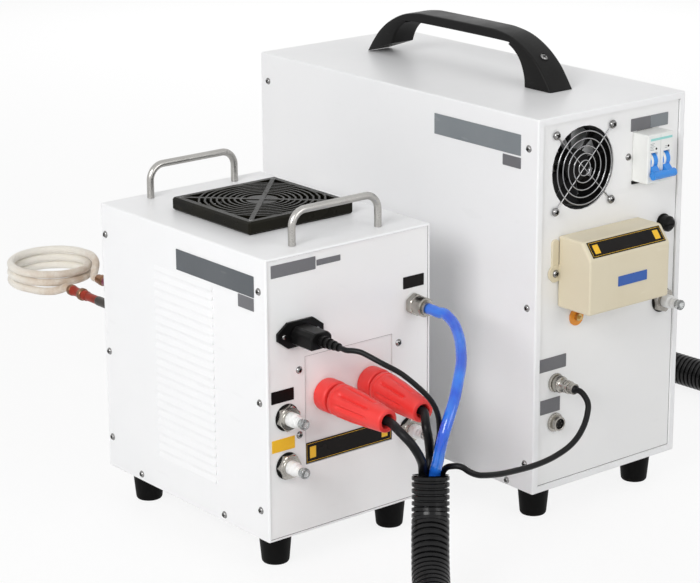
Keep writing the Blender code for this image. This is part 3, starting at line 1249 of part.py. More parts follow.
# Cords and hoses, their routes as places in millimetres from the unit's near left corner
LEFT_POWER_ROUTE = (
    (-221.5, -7.6, 143.9), (-221.5, -14, 143.7), (-221.5, -26, 143), (-226, -45, 140),
    (-221, -57, 129), (-209, -57, 110), (-197.3, -46.6, 90), (-202.3, -52.3, 66))
RIGHT_POWER_ROUTE = (
    (-172.2, -6.9, 143.3), (-173.2, -14, 143), (-174.6, -22, 142.5), (-185, -37, 134.5),
    (-185, -41, 121), (-182, -40, 103), (-185.6, -43.5, 90), (-190.6, -49.2, 66))
INLET_CORD_ROUTE = (
    (-256.8, 13, 221), (-256.8, 9, 221), (-256.5, 0, 221), (-250, -12, 221), (-239, -34, 212),
    (-226, -47, 202), (-210, -57, 185), (-197, -60, 169), (-189, -60, 152), (-184, -56, 130),
    (-183, -51, 112), (-178.1, -48, 90), (-183, -53.7, 66))
COOLING_ROUTE = (
    (-103.8, 52, 221), (-103.8, 46, 221), (-103.8, 38, 220.5), (-103, 28, 221), (-108, 8, 216),
    (-117, -10, 208), (-127, -24, 201), (-139, -38, 192), (-153, -50, 182), (-168, -61, 167),
    (-182, -68, 151), (-192, -70, 131), (-192.4, -63.5, 106), (-190.3, -56.4, 88),
    (-195.2, -62.4, 66))
REMOTE_ROUTE = (
    (33.5, -31.6, 122), (33.5, -36, 122), (33, -43, 119), (30, -52, 112), (21, -58, 98),
    (6, -63, 86), (-14, -68, 79), (-41, -72, 75), (-69, -76, 75), (-101, -80, 78),
    (-133, -84, 83), (-160, -84, 90), (-173, -74, 99), (-179.5, -57.5, 91),
    (-184.6, -59.8, 66))
CONDUIT_ROUTE = (
    (-190, -50, 87), (-198, -59.3, 49), (-211, -74, 29), (-231, -98, 3), (-257, -132, -12.5),
    (-284, -172, -17.2), (-298, -228, -17.2), (-284, -290, -17.2), (-236, -338, -17.2),
    (-165, -362, -17.2), (-60, -372, -17.2), (60, -366, -17.2), (180, -338, -17.2),
    (290, -285, -17.2), (380, -205, -17.2), (440, -105, -17.2), (468, 10, -17.2),
    (475, 120, -17.2), (471, 227, -17.2), (462, 340, -17.2), (442, 450, -17.2),
    (400, 545, -17.2), (330, 612, -8), (248, 628, 12), (178, 596, 38), (151, 552, 56),
    (150, 515, 62), (150, 505.5, 62))
POWER_CABLE = 9.5 * MM
CABLE_SPACING_SHARE = 1.3
REMOTE_SPACING_SHARE = 2.2
INLET_SPACING_SHARE = 3
CONDUIT_CREST = 38.6 * MM
CONDUIT_ROOT_SHARE = 0.86
CONDUIT_BORE = 33 * MM
CONDUIT_BORE_LENGTH = 34 * MM
CONDUIT_PITCH = 12.8 * MM
GLAND_RADIUS = 26 * MM
GLAND_NUT = 12 * MM
GLAND_END = 28.4 * MM


def from_unit(route):
    return [on_unit(x * MM, y * MM, z * MM) for x, y, z in route]


def cord(name, route, diameter, spacing_share, surface):
    route = from_unit(route)
    line = [route[0]] + smooth_line(route[1:], diameter * spacing_share)
    return dress(tube(name, line, diameter / 2), surface)


def cords():
    cord("power_cable_left", LEFT_POWER_ROUTE, POWER_CABLE, CABLE_SPACING_SHARE, BLACK_RUBBER)
    cord("power_cable_right", RIGHT_POWER_ROUTE, POWER_CABLE, CABLE_SPACING_SHARE, BLACK_RUBBER)
    cord("inlet_cord", INLET_CORD_ROUTE, INLET_CORD, INLET_SPACING_SHARE, BLACK_RUBBER)
    cord("cooling_tube", COOLING_ROUTE, COOLING_TUBE, CABLE_SPACING_SHARE, BLUE_TUBE)
    cord("remote_cord", REMOTE_ROUTE, REMOTE_CORD, REMOTE_SPACING_SHARE, BLACK_RUBBER)


def conduit():
    """Corrugated hose: a crest and a root to each rib, a plain cuff at both ends, an open mouth."""
    step = CONDUIT_PITCH / 2
    line = smooth_line(from_unit(CONDUIT_ROUTE), step)
    points, shares = [line[0]], [1.0]
    for i, place in enumerate(line):
        if min(i, len(line) - 1 - i) * step > CONDUIT_CREST:
            points.append(place)
            shares.append(1.0 if i % 2 else CONDUIT_ROOT_SHARE)
    points.append(line[-1])
    shares.append(1.0)
    hose = tube("conduit", points, CONDUIT_CREST / 2, 2, shares)
    print("conduit: %d points" % len(points))
    axis = (points[1] - points[0]).normalized()
    bore = cylinder("conduit_bore", points[0] - axis * OVERRUN, axis, CONDUIT_BORE_LENGTH + OVERRUN,
                    CONDUIT_BORE / 2, 24)
    cut(hose, bore)
    dress(hose, BLACK_PLASTIC)
    place = on_unit(GLAND_ACROSS, UNIT_LENGTH - UNIT_PANEL_INSET + CLEARANCE, GLAND_UP)
    neck = CONDUIT_CREST / 2
    gland = turned("conduit_gland",
                   [(0, GLAND_END), (neck, GLAND_END), (neck + NUT_EDGE, GLAND_END - NUT_EDGE),
                    (GLAND_RADIUS, GLAND_NUT), (GLAND_RADIUS, 0), (0, 0)], place, FAR, 24)
    dress(gland, BLACK_PLASTIC)


unit_case()
unit_panels()
unit_fan()
breaker()
terminal_cover()
earth_terminal()
fuse_holder()
remote_sockets()
water_fittings()
carry_handle()
feet()
controls()
head_case()
head_panels()
filter_grille()
head_fan()
rod_handles()
mains_inlet()
twist_connector("left")
twist_connector("right")
cooling_fitting()
work_coil()
cords()
conduit()
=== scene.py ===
"""Split induction heater, dressed over its CAD frame: a white power unit, a louvred work
head with its sleeved coil, and the hoses and cables that join the two cabinets."""
import math

import bmesh
import bpy
from mathutils import Matrix, Vector


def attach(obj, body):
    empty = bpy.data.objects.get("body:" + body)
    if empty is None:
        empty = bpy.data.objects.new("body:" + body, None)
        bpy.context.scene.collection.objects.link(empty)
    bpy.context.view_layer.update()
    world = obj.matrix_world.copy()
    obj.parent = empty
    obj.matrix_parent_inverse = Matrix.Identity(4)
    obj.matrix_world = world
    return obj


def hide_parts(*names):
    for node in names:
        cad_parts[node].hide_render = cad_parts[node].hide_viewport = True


MM = 0.001
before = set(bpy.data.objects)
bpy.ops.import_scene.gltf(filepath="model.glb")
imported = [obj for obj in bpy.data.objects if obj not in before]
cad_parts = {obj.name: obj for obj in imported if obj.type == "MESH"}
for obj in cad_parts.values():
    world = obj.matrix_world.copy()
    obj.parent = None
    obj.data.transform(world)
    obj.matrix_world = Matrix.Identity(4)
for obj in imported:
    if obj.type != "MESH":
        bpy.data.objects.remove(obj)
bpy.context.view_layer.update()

UNIT_CORNER = Vector((40.75, -330.05, 37)) * MM
HEAD_CORNER = Vector((-259.05, -253.15, 37)) * MM
UNIT_SIZE = Vector((220.5, 476.8, 417)) * MM
HEAD_SIZE = Vector((218.7, 296, 305.2)) * MM
UNIT_FACE, HEAD_FACE = 2.5, 1.2
SEAT_GAP = 0.3
FAN_CENTRE = (68.5, 355)
FAN_SCREW_REACH = 41.25
INLET_CENTRE = (43, 221)
BREAKER_CENTRE = 162.5
SOCKET_ACROSS, REMOTE_UP, SPARE_UP = 33.5, 122, 76.5
LEAD_ACROSS, LEAD_UP = {"left": 84.8, "right": 134.8}, 142.5
LEFT, RIGHT = Vector((-1, 0, 0)), Vector((1, 0, 0))
NEAR, FAR = Vector((0, -1, 0)), Vector((0, 1, 0))
UP = Vector((0, 0, 1))


def on_unit(across, depth, up):
    """A place on the power unit, in millimetres from its near left bottom corner."""
    return UNIT_CORNER + Vector((across, depth, up)) * MM


def on_head(across, depth, up):
    """A place on the work head, in millimetres from its near left bottom corner."""
    return HEAD_CORNER + Vector((across, depth, up)) * MM


# The camera stands where the photographer's did, to the left, in front and above
PHOTO_WIDTH = 700
FOCAL_PIXELS = 2391.39
SENSOR = 36


def photographer():
    lens = bpy.data.cameras.new("camera")
    lens.sensor_width = SENSOR
    lens.lens = FOCAL_PIXELS / PHOTO_WIDTH * SENSOR
    lens.clip_end = 30
    camera = bpy.data.objects.new("camera", lens)
    bpy.context.scene.collection.objects.link(camera)
    pitch, yaw, roll = math.radians(17.0), math.radians(-39.058), math.radians(-0.361)
    ahead = Vector((math.cos(pitch) * -math.sin(yaw), math.cos(pitch) * math.cos(yaw), -math.sin(pitch)))
    right = Vector((math.cos(yaw), math.sin(yaw), 0))
    top = right.cross(ahead)
    turned_right = right * math.cos(roll) + top * math.sin(roll)
    turned_top = top * math.cos(roll) - right * math.sin(roll)
    place = Matrix((turned_right, turned_top, -ahead)).transposed().to_4x4()
    place.translation = UNIT_CORNER + Vector((-1676.2, -1753.9, 972.3)) * MM
    camera.matrix_world = place
    bpy.context.scene.camera = camera


# Node helpers
def node(tree, kind, values=None, **settings):
    new = tree.nodes.new(kind)
    for name, value in settings.items():
        setattr(new, name, value)
    for name, value in (values or {}).items():
        new.inputs[name].default_value = value
    return new


def wire(tree, source, target):
    tree.links.new(source, target)


def feed(tree, value, socket):
    """Link a socket, or set a plain value."""
    if isinstance(value, bpy.types.NodeSocket):
        tree.links.new(value, socket)
    elif isinstance(value, (tuple, list)):
        socket.default_value = (*value, 1.0) if len(value) == 3 and len(socket.default_value) == 4 else value
    else:
        socket.default_value = value


def sums(tree, operation, *values, clamp=False):
    new = node(tree, "ShaderNodeMath", operation=operation, use_clamp=clamp)
    for value, socket in zip(values, new.inputs):
        feed(tree, value, socket)
    return new.outputs[0]


def mixed(tree, share, first, second):
    new = node(tree, "ShaderNodeMix", data_type="RGBA")
    feed(tree, share, new.inputs[0])
    feed(tree, first, new.inputs[6])
    feed(tree, second, new.inputs[7])
    return new.outputs[2]


def blended(tree, share, first, second):
    new = node(tree, "ShaderNodeMix", data_type="FLOAT")
    feed(tree, share, new.inputs[0])
    feed(tree, first, new.inputs[2])
    feed(tree, second, new.inputs[3])
    return new.outputs[0]


def ranged(tree, value, low, high, to_low=0.0, to_high=1.0):
    new = node(tree, "ShaderNodeMapRange", {"From Min": low, "From Max": high, "To Min": to_low, "To Max": to_high})
    wire(tree, value, new.inputs["Value"])
    return new.outputs[0]


def effect_group(name, inputs, outputs):
    """A shader node group with named sockets: (name, kind, value) in, (name, kind) out."""
    group = bpy.data.node_groups.new(name, "ShaderNodeTree")
    for label, kind, value in inputs:
        socket = group.interface.new_socket(label, in_out="INPUT", socket_type="NodeSocket" + kind)
        socket.default_value = value
    for label, kind in outputs:
        group.interface.new_socket(label, in_out="OUTPUT", socket_type="NodeSocket" + kind)
    return group, group.nodes.new("NodeGroupInput").outputs, group.nodes.new("NodeGroupOutput").inputs


def noise_in(tree, place, scale, detail=3.0, roughness=0.55):
    new = node(tree, "ShaderNodeTexNoise", {"Detail": detail, "Roughness": roughness})
    wire(tree, place, new.inputs["Vector"])
    feed(tree, scale, new.inputs["Scale"])
    return new.outputs[0]


def make_cloudy_colour():
    """Slow drifts of tone, as paint, rubber and plastic have."""
    group, given, made = effect_group(
        "cloudy_colour",
        [("Colour", "Color", (1, 1, 1, 1)), ("Second", "Color", (1, 1, 1, 1)), ("Scale", "Float", 8.0),
         ("Amount", "Float", 0.5)],
        [("Colour", "Color"), ("Cloud", "Float")])
    place = node(group, "ShaderNodeTexCoord").outputs["Object"]
    cloud = ranged(group, noise_in(group, place, given["Scale"], 4.0), 0.32, 0.68)
    share = sums(group, "MULTIPLY", cloud, given["Amount"], clamp=True)
    wire(group, mixed(group, share, given["Colour"], given["Second"]), made["Colour"])
    wire(group, cloud, made["Cloud"])
    return group


def make_fine_grain():
    """The fine texture of a moulded, sprayed or cast surface, with a coarser ripple under it."""
    group, given, made = effect_group(
        "fine_grain",
        [("Scale", "Float", 1500.0), ("Ripple", "Float", 0.3)],
        [("Height", "Float"), ("Grain", "Float")])
    place = node(group, "ShaderNodeTexCoord").outputs["Object"]
    grain = noise_in(group, place, given["Scale"], 2.0, 0.6)
    ripple = noise_in(group, place, sums(group, "MULTIPLY", given["Scale"], 0.16), 1.0)
    wire(group, blended(group, given["Ripple"], grain, ripple), made["Height"])
    wire(group, grain, made["Grain"])
    return group


def make_edge_wear_and_highlight():
    """Where edges are rubbed, and where edges carry a painted highlight: the rounded normal leaves the true one there.
    """
    group, given, made = effect_group(
        "edge_wear_and_highlight", [("Reach", "Float", 0.001), ("Amount", "Float", 1.0), ("Scale", "Float", 120.0)],
        [("Wear_and_highlight", "Float")])
    rounded = node(group, "ShaderNodeBevel", samples=4)
    wire(group, given["Reach"], rounded.inputs["Radius"])
    true = node(group, "ShaderNodeNewGeometry").outputs["Normal"]
    dot = node(group, "ShaderNodeVectorMath", operation="DOT_PRODUCT")
    wire(group, rounded.outputs[0], dot.inputs[0])
    wire(group, true, dot.inputs[1])
    edge = ranged(group, dot.outputs["Value"], 0.985, 0.86)
    place = node(group, "ShaderNodeTexCoord").outputs["Object"]
    patchy = ranged(group, noise_in(group, place, given["Scale"], 5.0, 0.7), 0.36, 0.62)
    wear_and_highlight = sums(group, "MULTIPLY", sums(group, "MULTIPLY", edge, patchy), given["Amount"], clamp=True)
    wire(group, wear_and_highlight, made["Wear_and_highlight"])
    return group


def make_fine_scratches():
    """Short hairline scuffs, in two directions."""
    group, given, made = effect_group(
        "fine_scratches", [("Scale", "Float", 40.0), ("Amount", "Float", 0.4)], [("Scratch", "Float")])
    place = node(group, "ShaderNodeTexCoord").outputs["Object"]
    found = None
    for turn, stretch in (((0.3, 0.9, 0.4), (1, 26, 3)), ((1.1, 0.2, 2.0), (24, 1, 4))):
        way = node(group, "ShaderNodeMapping", {"Rotation": turn, "Scale": stretch})
        wire(group, place, way.inputs["Vector"])
        line = ranged(group, noise_in(group, way.outputs[0], given["Scale"], 1.0), 0.71, 0.76)
        found = line if found is None else sums(group, "MAXIMUM", found, line)
    wire(group, sums(group, "MULTIPLY", found, given["Amount"], clamp=True), made["Scratch"])
    return group


def make_settled_dust():
    """A little dust on what faces up."""
    group, given, made = effect_group(
        "settled_dust", [("Scale", "Float", 60.0), ("Amount", "Float", 0.2)], [("Dust", "Float")])
    facing = node(group, "ShaderNodeSeparateXYZ")
    wire(group, node(group, "ShaderNodeNewGeometry").outputs["Normal"], facing.inputs[0])
    up = ranged(group, facing.outputs[2], 0.35, 0.95)
    place = node(group, "ShaderNodeTexCoord").outputs["Object"]
    patchy = ranged(group, noise_in(group, place, given["Scale"], 6.0, 0.7), 0.34, 0.72)
    wire(group, sums(group, "MULTIPLY", sums(group, "MULTIPLY", up, patchy), given["Amount"], clamp=True),
         made["Dust"])
    return group


def make_drawn_lines():
    """Fine parallel lines, as drawn, turned or brushed metal has, along one axis."""
    group, given, made = effect_group(
        "drawn_lines", [("Across", "Vector", (900.0, 900.0, 12.0)), ("Amount", "Float", 0.5)],
        [("Line", "Float")])
    place = node(group, "ShaderNodeTexCoord").outputs["Object"]
    scaled = node(group, "ShaderNodeVectorMath", operation="MULTIPLY")
    wire(group, place, scaled.inputs[0])
    wire(group, given["Across"], scaled.inputs[1])
    line = noise_in(group, scaled.outputs[0], 1.0, 3.0, 0.7)
    wire(group, blended(group, given["Amount"], 0.5, line), made["Line"])
    return group


def make_split():
    """0 before and 1 after a place along an axis."""
    group, given, made = effect_group(
        "split", [("Axis", "Vector", (0.0, 1.0, 0.0)), ("Place", "Float", 0.0), ("Blur", "Float", 0.0001)],
        [("After", "Float")])
    along = node(group, "ShaderNodeVectorMath", operation="DOT_PRODUCT")
    wire(group, node(group, "ShaderNodeTexCoord").outputs["Object"], along.inputs[0])
    wire(group, given["Axis"], along.inputs[1])
    past = sums(group, "SUBTRACT", along.outputs["Value"], given["Place"])
    wire(group, sums(group, "DIVIDE", past, given["Blur"], clamp=True), made["After"])
    return group


def make_braid():
    """The plait of a woven sleeve: two sets of strands that cross, from the sleeve's own map."""
    group, given, made = effect_group(
        "braid", [("Around", "Float", 10.0), ("Along", "Float", 260.0)], [("Height", "Float"), ("Strand", "Float")])
    place = node(group, "ShaderNodeSeparateXYZ")
    wire(group, node(group, "ShaderNodeUVMap", uv_map="UVMap").outputs[0], place.inputs[0])
    u = sums(group, "MULTIPLY", place.outputs[0], given["Around"])
    v = sums(group, "MULTIPLY", place.outputs[1], given["Along"])
    strands = []
    for sign in (1, -1):
        turn = sums(group, "MULTIPLY", sums(group, "ADD", u, sums(group, "MULTIPLY", v, sign)), math.pi)
        strands.append(sums(group, "ABSOLUTE", sums(group, "SINE", turn)))
    over = sums(group, "SINE", sums(group, "MULTIPLY", u, math.tau))
    pick = ranged(group, over, -0.4, 0.4)
    height = blended(group, pick, strands[0], strands[1])
    wire(group, height, made["Height"])
    wire(group, ranged(group, height, 0.15, 0.8), made["Strand"])
    return group


EFFECTS = {"cloud": make_cloudy_colour(), "grain": make_fine_grain(), "wear_and_highlight": make_edge_wear_and_highlight(),
           "scratch": make_fine_scratches(), "dust": make_settled_dust(), "lines": make_drawn_lines(),
           "split": make_split(), "braid": make_braid()}
FINISHES = {}


def effect(tree, name, **values):
    """Place one of the shared effects, with its own values."""
    new = node(tree, "ShaderNodeGroup", node_tree=EFFECTS[name])
    for label, value in values.items():
        feed(tree, value, new.inputs[label])
    return new.outputs


def new_finish(name, **constants):
    """A material with its shader, whose plain numbers sit on the shader's own sockets."""
    material = bpy.data.materials.new(name)
    material.use_nodes = True
    tree = material.node_tree
    shader = tree.nodes["Principled BSDF"]
    for label, value in constants.items():
        feed(tree, value, shader.inputs[label.replace("_", " ")])
    FINISHES[name] = material
    return tree, shader.inputs


def raise_bumps(tree, shader, height, distance, strength=1.0):
    bump = node(tree, "ShaderNodeBump", {"Strength": strength, "Distance": distance})
    wire(tree, height, bump.inputs["Height"])
    wire(tree, bump.outputs[0], shader["Normal"])


def moulding(name, colour, second, rough, grain=1800.0, depth=0.00004, cloud=(14.0, 0.6), wear_and_highlight_colour=None,
             wear_and_highlight=0.5, dust=0.12, scratch=0.25, reach=0.0008, **constants):
    """Moulded plastic or rubber: drifting tone, grain, rubbed edges mixed lighter as wear and as a painted edge
    highlight, hairline scuffs and dust.
    """
    tree, shader = new_finish(name, **constants)
    tone = effect(tree, "cloud", Colour=colour, Second=second, Scale=cloud[0], Amount=cloud[1])
    texture = effect(tree, "grain", Scale=grain)
    edge = effect(tree, "wear_and_highlight", Reach=reach, Amount=wear_and_highlight)["Wear_and_highlight"]
    scuff = effect(tree, "scratch", Amount=scratch)["Scratch"]
    settled = effect(tree, "dust", Amount=dust)["Dust"]
    # edges are mixed to a lighter tone: rubbed wear, and a painted edge highlight
    wear_and_highlight_colour = wear_and_highlight_colour or tuple(min(1, c * 1.5 + 0.03) for c in colour)
    shade = mixed(tree, edge, tone["Colour"], wear_and_highlight_colour)
    shade = mixed(tree, sums(tree, "MULTIPLY", scuff, 0.5), shade, wear_and_highlight_colour)
    shade = mixed(tree, settled, shade, (0.55, 0.54, 0.52))
    wire(tree, shade, shader["Base Color"])
    level = blended(tree, tone["Cloud"], rough[0], rough[1])
    level = sums(tree, "ADD", level, sums(tree, "MULTIPLY", scuff, 0.12))
    level = sums(tree, "ADD", level, sums(tree, "MULTIPLY", settled, 0.4), clamp=True)
    wire(tree, level, shader["Roughness"])
    raise_bumps(tree, shader, texture["Height"], depth)
    return FINISHES[name]


def sprayed(name, colour, second, rough, grain=900.0, depth=0.00003, dust=0.05, wear_and_highlight=0.35):
    """Powder coat on folded sheet: orange peel, faint handling marks, slightly rubbed folds mixed lighter, partly a
    painted edge highlight.
    """
    tree, shader = new_finish(name, Coat_Weight=0.12, Coat_Roughness=0.22)
    tone = effect(tree, "cloud", Colour=colour, Second=second, Scale=5.0, Amount=0.8)
    texture = effect(tree, "grain", Scale=grain, Ripple=0.55)
    edge = effect(tree, "wear_and_highlight", Reach=0.0012, Amount=wear_and_highlight, Scale=60.0)["Wear_and_highlight"]
    scuff = effect(tree, "scratch", Scale=22.0, Amount=0.35)["Scratch"]
    settled = effect(tree, "dust", Scale=35.0, Amount=dust)["Dust"]
    # the folds are mixed towards a lighter white: rubbed paint, and a painted highlight on the edges
    shade = mixed(tree, edge, tone["Colour"], (0.9, 0.9, 0.89))
    shade = mixed(tree, sums(tree, "MULTIPLY", scuff, 0.3), shade, (0.7, 0.7, 0.7))
    shade = mixed(tree, settled, shade, (0.62, 0.61, 0.58))
    wire(tree, shade, shader["Base Color"])
    level = blended(tree, tone["Cloud"], rough[0], rough[1])
    level = sums(tree, "ADD", level, sums(tree, "MULTIPLY", scuff, 0.15), clamp=True)
    wire(tree, level, shader["Roughness"])
    raise_bumps(tree, shader, texture["Height"], depth)
    return FINISHES[name]


def metal(name, colour, second, rough, across=(60.0, 900.0, 60.0), lines=0.5, depth=0.00001, cloud=(30.0, 0.6),
          scratch=0.4, **constants):
    """Plated, turned or drawn metal."""
    tree, shader = new_finish(name, Metallic=1.0, **constants)
    tone = effect(tree, "cloud", Colour=colour, Second=second, Scale=cloud[0], Amount=cloud[1])
    drawn = effect(tree, "lines", Across=across, Amount=lines)["Line"]
    scuff = effect(tree, "scratch", Scale=90.0, Amount=scratch)["Scratch"]
    wire(tree, tone["Colour"], shader["Base Color"])
    level = blended(tree, drawn, rough[0], rough[1])
    wire(tree, sums(tree, "ADD", level, sums(tree, "MULTIPLY", scuff, 0.15), clamp=True), shader["Roughness"])
    raise_bumps(tree, shader, drawn, depth)
    return FINISHES[name]


def make_finishes():
    sprayed("case_powder_coat", (0.87, 0.87, 0.875), (0.84, 0.845, 0.855), (0.34, 0.46))
    sprayed("panel_powder_coat", (0.85, 0.85, 0.85), (0.825, 0.825, 0.82), (0.3, 0.42), grain=1200.0)
    moulding("breaker_moulding", (0.82, 0.83, 0.81), (0.78, 0.78, 0.75), (0.32, 0.44), wear_and_highlight=0.25, dust=0.05)
    moulding("cream_moulding", (0.70, 0.63, 0.47), (0.655, 0.58, 0.42), (0.34, 0.48), grain=1500.0,
             wear_and_highlight_colour=(0.83, 0.79, 0.66), wear_and_highlight=0.6, dust=0.05)
    moulding("black_moulding", (0.004, 0.004, 0.0043), (0.0075, 0.007, 0.0065), (0.26, 0.42), wear_and_highlight=0.5, dust=0.02,
             wear_and_highlight_colour=(0.03, 0.03, 0.03), Specular_IOR_Level=0.12)
    moulding("filter_moulding", (0.005, 0.0048, 0.0034), (0.013, 0.0115, 0.006), (0.2, 0.34), grain=2400.0, wear_and_highlight=0.4,
             dust=0.02, wear_and_highlight_colour=(0.045, 0.04, 0.025), Specular_IOR_Level=0.1)
    moulding("strap_moulding", (0.005, 0.005, 0.0054), (0.01, 0.0097, 0.009), (0.3, 0.5), grain=1400.0, wear_and_highlight=0.4,
             dust=0.015, wear_and_highlight_colour=(0.05, 0.05, 0.05), Specular_IOR_Level=0.13)
    # painted highlight: the glossy top's edges are mixed strongly to light grey, a light edge line
    moulding("strap_gloss", (0.003, 0.003, 0.0024), (0.01, 0.0088, 0.005), (0.1, 0.24), grain=700.0, wear_and_highlight=0.9,
             dust=0.01, scratch=0.5, wear_and_highlight_colour=(0.25, 0.25, 0.25), Specular_IOR_Level=0.06)
    moulding("foot_rubber", (0.0035, 0.0035, 0.0035), (0.006, 0.0057, 0.0055), (0.5, 0.7), grain=900.0, depth=0.00009,
             dust=0.03, wear_and_highlight_colour=(0.02, 0.02, 0.02), Specular_IOR_Level=0.07)
    moulding("cable_rubber", (0.004, 0.004, 0.0045), (0.009, 0.009, 0.01), (0.28, 0.44), grain=1100.0,
             depth=0.00008, wear_and_highlight=0.0, dust=0.02, Specular_IOR_Level=0.16)
    moulding("conduit_nylon", (0.003, 0.003, 0.0033), (0.0065, 0.0065, 0.007), (0.14, 0.24), grain=1300.0, wear_and_highlight=0.5,
             wear_and_highlight_colour=(0.03, 0.03, 0.032), dust=0.015, reach=0.0006, Specular_IOR_Level=0.24)
    moulding("red_sleeve_rubber", (0.86, 0.045, 0.038), (0.74, 0.028, 0.026), (0.32, 0.46), grain=1000.0,
             depth=0.00006, wear_and_highlight_colour=(0.95, 0.13, 0.11), wear_and_highlight=0.4, dust=0.02)
    moulding("toggle_blue_moulding", (0.03, 0.26, 0.75), (0.022, 0.19, 0.62), (0.22, 0.34), wear_and_highlight=0.35, dust=0.02,
             wear_and_highlight_colour=(0.16, 0.44, 0.85))
    moulding("start_green_moulding", (0.02, 0.3, 0.09), (0.015, 0.24, 0.06), (0.25, 0.36), dust=0.02)
    moulding("stop_red_moulding", (0.6, 0.02, 0.02), (0.5, 0.015, 0.015), (0.25, 0.36), dust=0.02)
    moulding("spout_nylon", (0.86, 0.86, 0.85), (0.8, 0.8, 0.79), (0.22, 0.34), wear_and_highlight=0.2, dust=0.02)
    moulding("clear_nylon", (0.86, 0.88, 0.88), (0.78, 0.81, 0.81), (0.08, 0.16), wear_and_highlight=0.1, dust=0.02,
             Transmission_Weight=0.75, IOR=1.45)
    moulding("label_grey", (0.15, 0.15, 0.16), (0.115, 0.115, 0.125), (0.3, 0.42), grain=2600.0, dust=0.03, wear_and_highlight=0.6,
             reach=0.0004, wear_and_highlight_colour=(0.36, 0.36, 0.38))
    moulding("label_light_grey", (0.205, 0.225, 0.24), (0.165, 0.185, 0.2), (0.3, 0.42), grain=2600.0, dust=0.03,
             wear_and_highlight=0.6, reach=0.0004, wear_and_highlight_colour=(0.42, 0.44, 0.45))
    moulding("label_dark_grey", (0.085, 0.095, 0.105), (0.06, 0.07, 0.08), (0.28, 0.4), grain=2600.0, dust=0.03,
             wear_and_highlight=0.6, reach=0.0004, wear_and_highlight_colour=(0.25, 0.26, 0.27))
    moulding("label_black", (0.0065, 0.0055, 0.0055), (0.013, 0.0105, 0.009), (0.16, 0.3), grain=2600.0, dust=0.02,
             wear_and_highlight=0.4, reach=0.0004, wear_and_highlight_colour=(0.03, 0.026, 0.022), Specular_IOR_Level=0.1)
    moulding("label_yellow", (0.86, 0.5, 0.012), (0.78, 0.42, 0.01), (0.3, 0.42), grain=2600.0, dust=0.02, wear_and_highlight=0.4,
             reach=0.0004)
    moulding("label_blue", (0.016, 0.095, 0.4), (0.012, 0.07, 0.31), (0.3, 0.42), grain=2600.0, dust=0.02, wear_and_highlight=0.4,
             reach=0.0004)
    moulding("label_teal", (0.3, 0.66, 0.63), (0.25, 0.58, 0.56), (0.34, 0.46), grain=2600.0, dust=0.02, wear_and_highlight=0.2)
    # painted shade: the dark and softer lines in the gaps round the panels and the board
    moulding("dark_seam_shade", (0.09, 0.09, 0.092), (0.06, 0.06, 0.062), (0.6, 0.8), wear_and_highlight=0.0, dust=0.0, scratch=0.0)
    moulding("soft_seam_shade", (0.38, 0.38, 0.385), (0.3, 0.3, 0.31), (0.5, 0.7), wear_and_highlight=0.0, dust=0.0, scratch=0.0)
    moulding("shrink_brown", (0.03, 0.021, 0.013), (0.016, 0.011, 0.008), (0.28, 0.42), grain=700.0, depth=0.00008,
             wear_and_highlight=0.2, dust=0.02, cloud=(45.0, 0.9), Specular_IOR_Level=0.4)
    moulding("shrink_magenta", (0.22, 0.018, 0.075), (0.13, 0.012, 0.045), (0.28, 0.42), grain=700.0, wear_and_highlight=0.2,
             dust=0.02, cloud=(60.0, 0.9))
    moulding("window_glass", (0.006, 0.008, 0.01), (0.012, 0.014, 0.018), (0.05, 0.12), dust=0.03, scratch=0.3,
             wear_and_highlight=0.0, Coat_Weight=0.4, Coat_Roughness=0.05)
    metal("bright_chrome", (0.42, 0.42, 0.42), (0.26, 0.26, 0.27), (0.1, 0.22), lines=0.8, cloud=(45.0, 1.0))
    metal("nickel_plate", (0.5, 0.48, 0.44), (0.3, 0.285, 0.26), (0.14, 0.3), lines=0.9, cloud=(55.0, 0.9))
    metal("zinc_screw", (0.36, 0.355, 0.35), (0.2, 0.2, 0.2), (0.14, 0.28), across=(500.0, 500.0, 500.0),
          cloud=(180.0, 0.8))
    metal("bent_steel_rod", (0.46, 0.45, 0.43), (0.36, 0.35, 0.335), (0.2, 0.36), across=(40.0, 1400.0, 1400.0))
    metal("reddened_copper", (0.4, 0.05, 0.03), (0.2, 0.04, 0.028), (0.26, 0.46), across=(500.0, 60.0, 500.0),
          cloud=(90.0, 0.9), lines=0.8)
    metal("browned_copper", (0.32, 0.17, 0.1), (0.16, 0.085, 0.05), (0.26, 0.46), across=(500.0, 60.0, 500.0),
          cloud=(120.0, 0.9), lines=0.8)
    make_cooling_tube()
    make_glass_braid()
    make_earth_stud()
    make_lit_segment()


def make_cooling_tube():
    """Clear blue hose: glossy, a little see-through, with a faint grain."""
    tree, shader = new_finish("cooling_tube_blue", Transmission_Weight=0.3, IOR=1.46, Coat_Weight=0.6,
                              Coat_Roughness=0.04)
    tone = effect(tree, "cloud", Colour=(0.006, 0.085, 0.72), Second=(0.03, 0.27, 0.95), Scale=34.0, Amount=0.9)
    texture = effect(tree, "grain", Scale=500.0, Ripple=0.7)
    wire(tree, tone["Colour"], shader["Base Color"])
    wire(tree, blended(tree, tone["Cloud"], 0.08, 0.2), shader["Roughness"])
    raise_bumps(tree, shader, texture["Height"], 0.00003)


